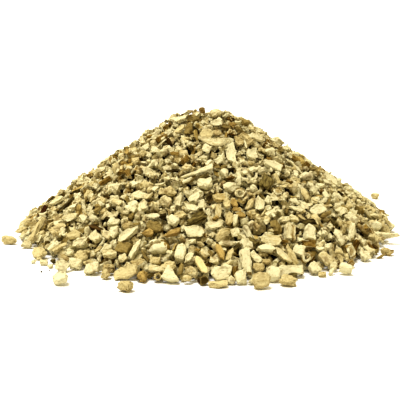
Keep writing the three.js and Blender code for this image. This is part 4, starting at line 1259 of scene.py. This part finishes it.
# Dried root: blotches, fibres along the chip, open pores, stains and the skin outside, darkened by the shade
# mark: painted shade in pits, cracks, holes and hollows, and the rings of cut ends
def makeRootGroup():
    tree = bpy.data.node_groups.new("driedRoot", "ShaderNodeTree")
    for name, fact in groupInputs.items():
        kind = "NodeSocketColor" if isinstance(woods["pale"][fact], str) else "NodeSocketFloat"
        tree.interface.new_socket(name=name, in_out="INPUT", socket_type=kind)
    for name, kind in (("Color", "Color"), ("Roughness", "Float"), ("Height", "Float")):
        tree.interface.new_socket(name=name, in_out="OUTPUT", socket_type=f"NodeSocket{kind}")
    given = addNode(tree, "NodeGroupInput").outputs
    grain = markNode(tree, "grain", "Vector")
    tone, shade, skin = [markNode(tree, name) for name in ("tone", "shade", "skin")]
    alongInputs = {0: grain, 1: rootGrain["fibreScales"]}
    along = addNode(tree, "ShaderNodeVectorMath", alongInputs, operation="MULTIPLY").outputs[0]
    fibre = noiseNode(tree, along, scale=1.0, roughness=rootGrain["fibreRoughness"])
    blotch = noiseNode(tree, grain, rootGrain["blotchScale"], 4.0, rootGrain["blotchRoughness"])
    poreInputs = {"Vector": grain, "Scale": rootGrain["poreScale"]}
    poreWay = addNode(tree, "ShaderNodeTexVoronoi", poreInputs).outputs["Distance"]
    pore = rangeNode(tree, poreWay, *rootGrain["poreEdge"], 1.0, 0.0)
    pore = mathNode(tree, "MULTIPLY", pore, given["Pores"])
    unevenness = mathNode(tree, "SUBTRACT", blotch, rootGrain["middle"])
    unevenness = mathNode(tree, "MULTIPLY", unevenness, given["Blotches"])
    lines = mathNode(tree, "SUBTRACT", fibre, rootGrain["middle"])
    lines = mathNode(tree, "MULTIPLY", lines, given["Fibres"])
    depth = mathNode(tree, "ADD", mathNode(tree, "ADD", unevenness, lines), tone)
    # The shade mark darkens the wood: painted shade in pits, cracks, holes and hollows, with the real rings
    # of cut ends
    depth = mathNode(tree, "ADD", depth, mathNode(tree, "ADD", pore, shade), clamp=True)
    wood = mixNode(tree, depth, given["Light wood"], given["Dark wood"])
    stained = rangeNode(tree, noiseNode(tree, grain, rootGrain["stainScale"], 2.0), *rootGrain["stainEdge"])
    stained = mathNode(tree, "MULTIPLY", stained, given["Stained"])
    # The shade mark also pulls the colour towards the stain colour: painted shade, and the rings of cut ends
    stained = mathNode(tree, "MAXIMUM", stained, mathNode(tree, "MULTIPLY", shade, rootGrain["paintedShadeAndRingPull"]))
    wood = mixNode(tree, stained, wood, given["Stain and shade"])
    skinLight = mathNode(tree, "SUBTRACT", rangeNode(tree, fibre, *rootGrain["skinEdge"]), tone, clamp=True)
    skinColour = mixNode(tree, skinLight, given["Dark skin"], given["Light skin"])
    shown = mixNode(tree, skin, wood, skinColour)
    rough = rangeNode(tree, blotch, *rootGrain["roughnessEdge"], *rootGrain["roughness"])
    raised = mathNode(tree, "ADD", fibre, blotch)
    height = mathNode(tree, "SUBTRACT", raised, mathNode(tree, "MULTIPLY", pore, rootGrain["poreDepth"]))
    addNode(tree, "NodeGroupOutput", {"Color": shown, "Roughness": rough, "Height": height})
    return tree


driedRoot = makeRootGroup()


def newMaterial(name):
    material = bpy.data.materials.new(name)
    material.use_nodes = True
    tree = material.node_tree
    return material, tree, tree.nodes["Principled BSDF"]


def makeWood(name, look):
    material, tree, shader = newMaterial(name)
    group = addNode(tree, "ShaderNodeGroup", node_tree=driedRoot)
    for socket, fact in groupInputs.items():
        value = look[fact]
        group.inputs[socket].default_value = colour(value) if isinstance(value, str) else value
    height = group.outputs["Height"]
    inputs = {"Height": height, "Strength": surface["bumpStrength"], "Distance": surface["bumpDistance"]}
    bump = addNode(tree, "ShaderNodeBump", inputs)
    tree.links.new(group.outputs["Color"], shader.inputs["Base Color"])
    tree.links.new(group.outputs["Roughness"], shader.inputs["Roughness"])
    tree.links.new(bump.outputs[0], shader.inputs["Normal"])
    shader.inputs["Specular IOR Level"].default_value = surface["specular"]
    return material


def makePlainWood(name, look):
    material, tree, shader = newMaterial(name)
    shown = mixNode(tree, markNode(tree, "tone"), colour(look["light"]), colour(look["dark"]))
    tree.links.new(shown, shader.inputs["Base Color"])
    shader.inputs["Roughness"].default_value = surface["plainRoughness"]
    shader.inputs["Specular IOR Level"].default_value = surface["specular"]
    return material


woodMaterials = {wood: makeWood(f"{wood}RootWood", look) for wood, look in woods.items()}
woodMaterials |= {wood: makePlainWood(f"{wood}Wood", look) for wood, look in plainWoods.items()}


def finishPiece(piece, wood, *nodes):
    piece.data.materials.append(woodMaterials[wood])
    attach(piece, "root")
    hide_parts(*nodes)
    print("  ", piece.name, len(piece.data.polygons), "triangles")


print("Joining the chips")
paleParts = {
    "pale_lumps": (pithLump,),
    "pale_blocks": (cutBlock, curl, rootSlice, rootRing),
    "pale_split_chunks": (splitChunk, splinter),
    "pale_flakes": (brokenFlake, leafFlake, rootStick, crumb),
}
otherParts = {
    "tan_chips": "tan", "brown_chips": "brown", "red_brown_chips": "redBrown", "bark_slivers": "bark",
    "crumbs": "crumb", "chips_inside_painted_dark": "inside",
}
for name, kinds in paleParts.items():
    paleChips = [laid for laid in looseChips["pale"] if laid["kind"] in kinds]
    finishPiece(joinChips(name, paleChips), "pale", "heap")
for name, wood in otherParts.items():
    finishPiece(joinChips(name, looseChips[wood]), wood, "heap")
for name, laid in standingChips.items():
    finishPiece(joinChips(f"loose_{name}", [laid]), standing[name]["wood"], name)


print("Setting the floor, the light and the camera")
bm = bmesh.new()
bmesh.ops.create_grid(bm, x_segments=1, y_segments=1, size=stage["floorSize"])
floorMesh = bpy.data.meshes.new("floor")
bm.to_mesh(floorMesh)
bm.free()
floor = bpy.data.objects.new("floor", floorMesh)
bpy.context.scene.collection.objects.link(floor)
floorMaterial, _, floorShader = newMaterial("whiteTable")
floorShader.inputs["Base Color"].default_value = colour(stage["floorColour"])
floorShader.inputs["Roughness"].default_value = stage["floorRoughness"]
floorMesh.materials.append(floorMaterial)

world = bpy.data.worlds.new("studio")
bpy.context.scene.world = world
world.use_nodes = True
tree = world.node_tree
tree.nodes.clear()
seen = addNode(tree, "ShaderNodeLightPath").outputs["Is Camera Ray"]
white = addNode(tree, "ShaderNodeBackground", {"Strength": 1.0, "Color": (1, 1, 1, 1)})
ambientInputs = {"Strength": stage["ambient"], "Color": colour(stage["ambientColour"])}
ambient = addNode(tree, "ShaderNodeBackground", ambientInputs)
mixed = addNode(tree, "ShaderNodeMixShader", {0: seen, 1: ambient.outputs[0], 2: white.outputs[0]})
addNode(tree, "ShaderNodeOutputWorld", {"Surface": mixed.outputs[0]})

key = bpy.data.lights.new("key", "SUN")
key.energy = stage["keyStrength"]
key.angle = math.radians(stage["keySoftness"])
keyLight = bpy.data.objects.new("key", key)
keyLight.rotation_euler = Vector(stage["keyFrom"]).to_track_quat("Z", "Y").to_euler()
bpy.context.scene.collection.objects.link(keyLight)

cameraData = bpy.data.cameras.new("camera")
cameraData.lens = stage["lens"]
cameraData.sensor_width = stage["sensor"]
cameraData.clip_start = stage["nearest"]
camera = bpy.data.objects.new("camera", cameraData)
camera.location = cameraPlace
camera.rotation_euler = cameraTurn.to_euler()
bpy.context.scene.collection.objects.link(camera)
bpy.context.scene.camera = camera

bpy.context.scene.view_settings.view_transform = "Standard"
bpy.context.scene.view_settings.look = "High Contrast"
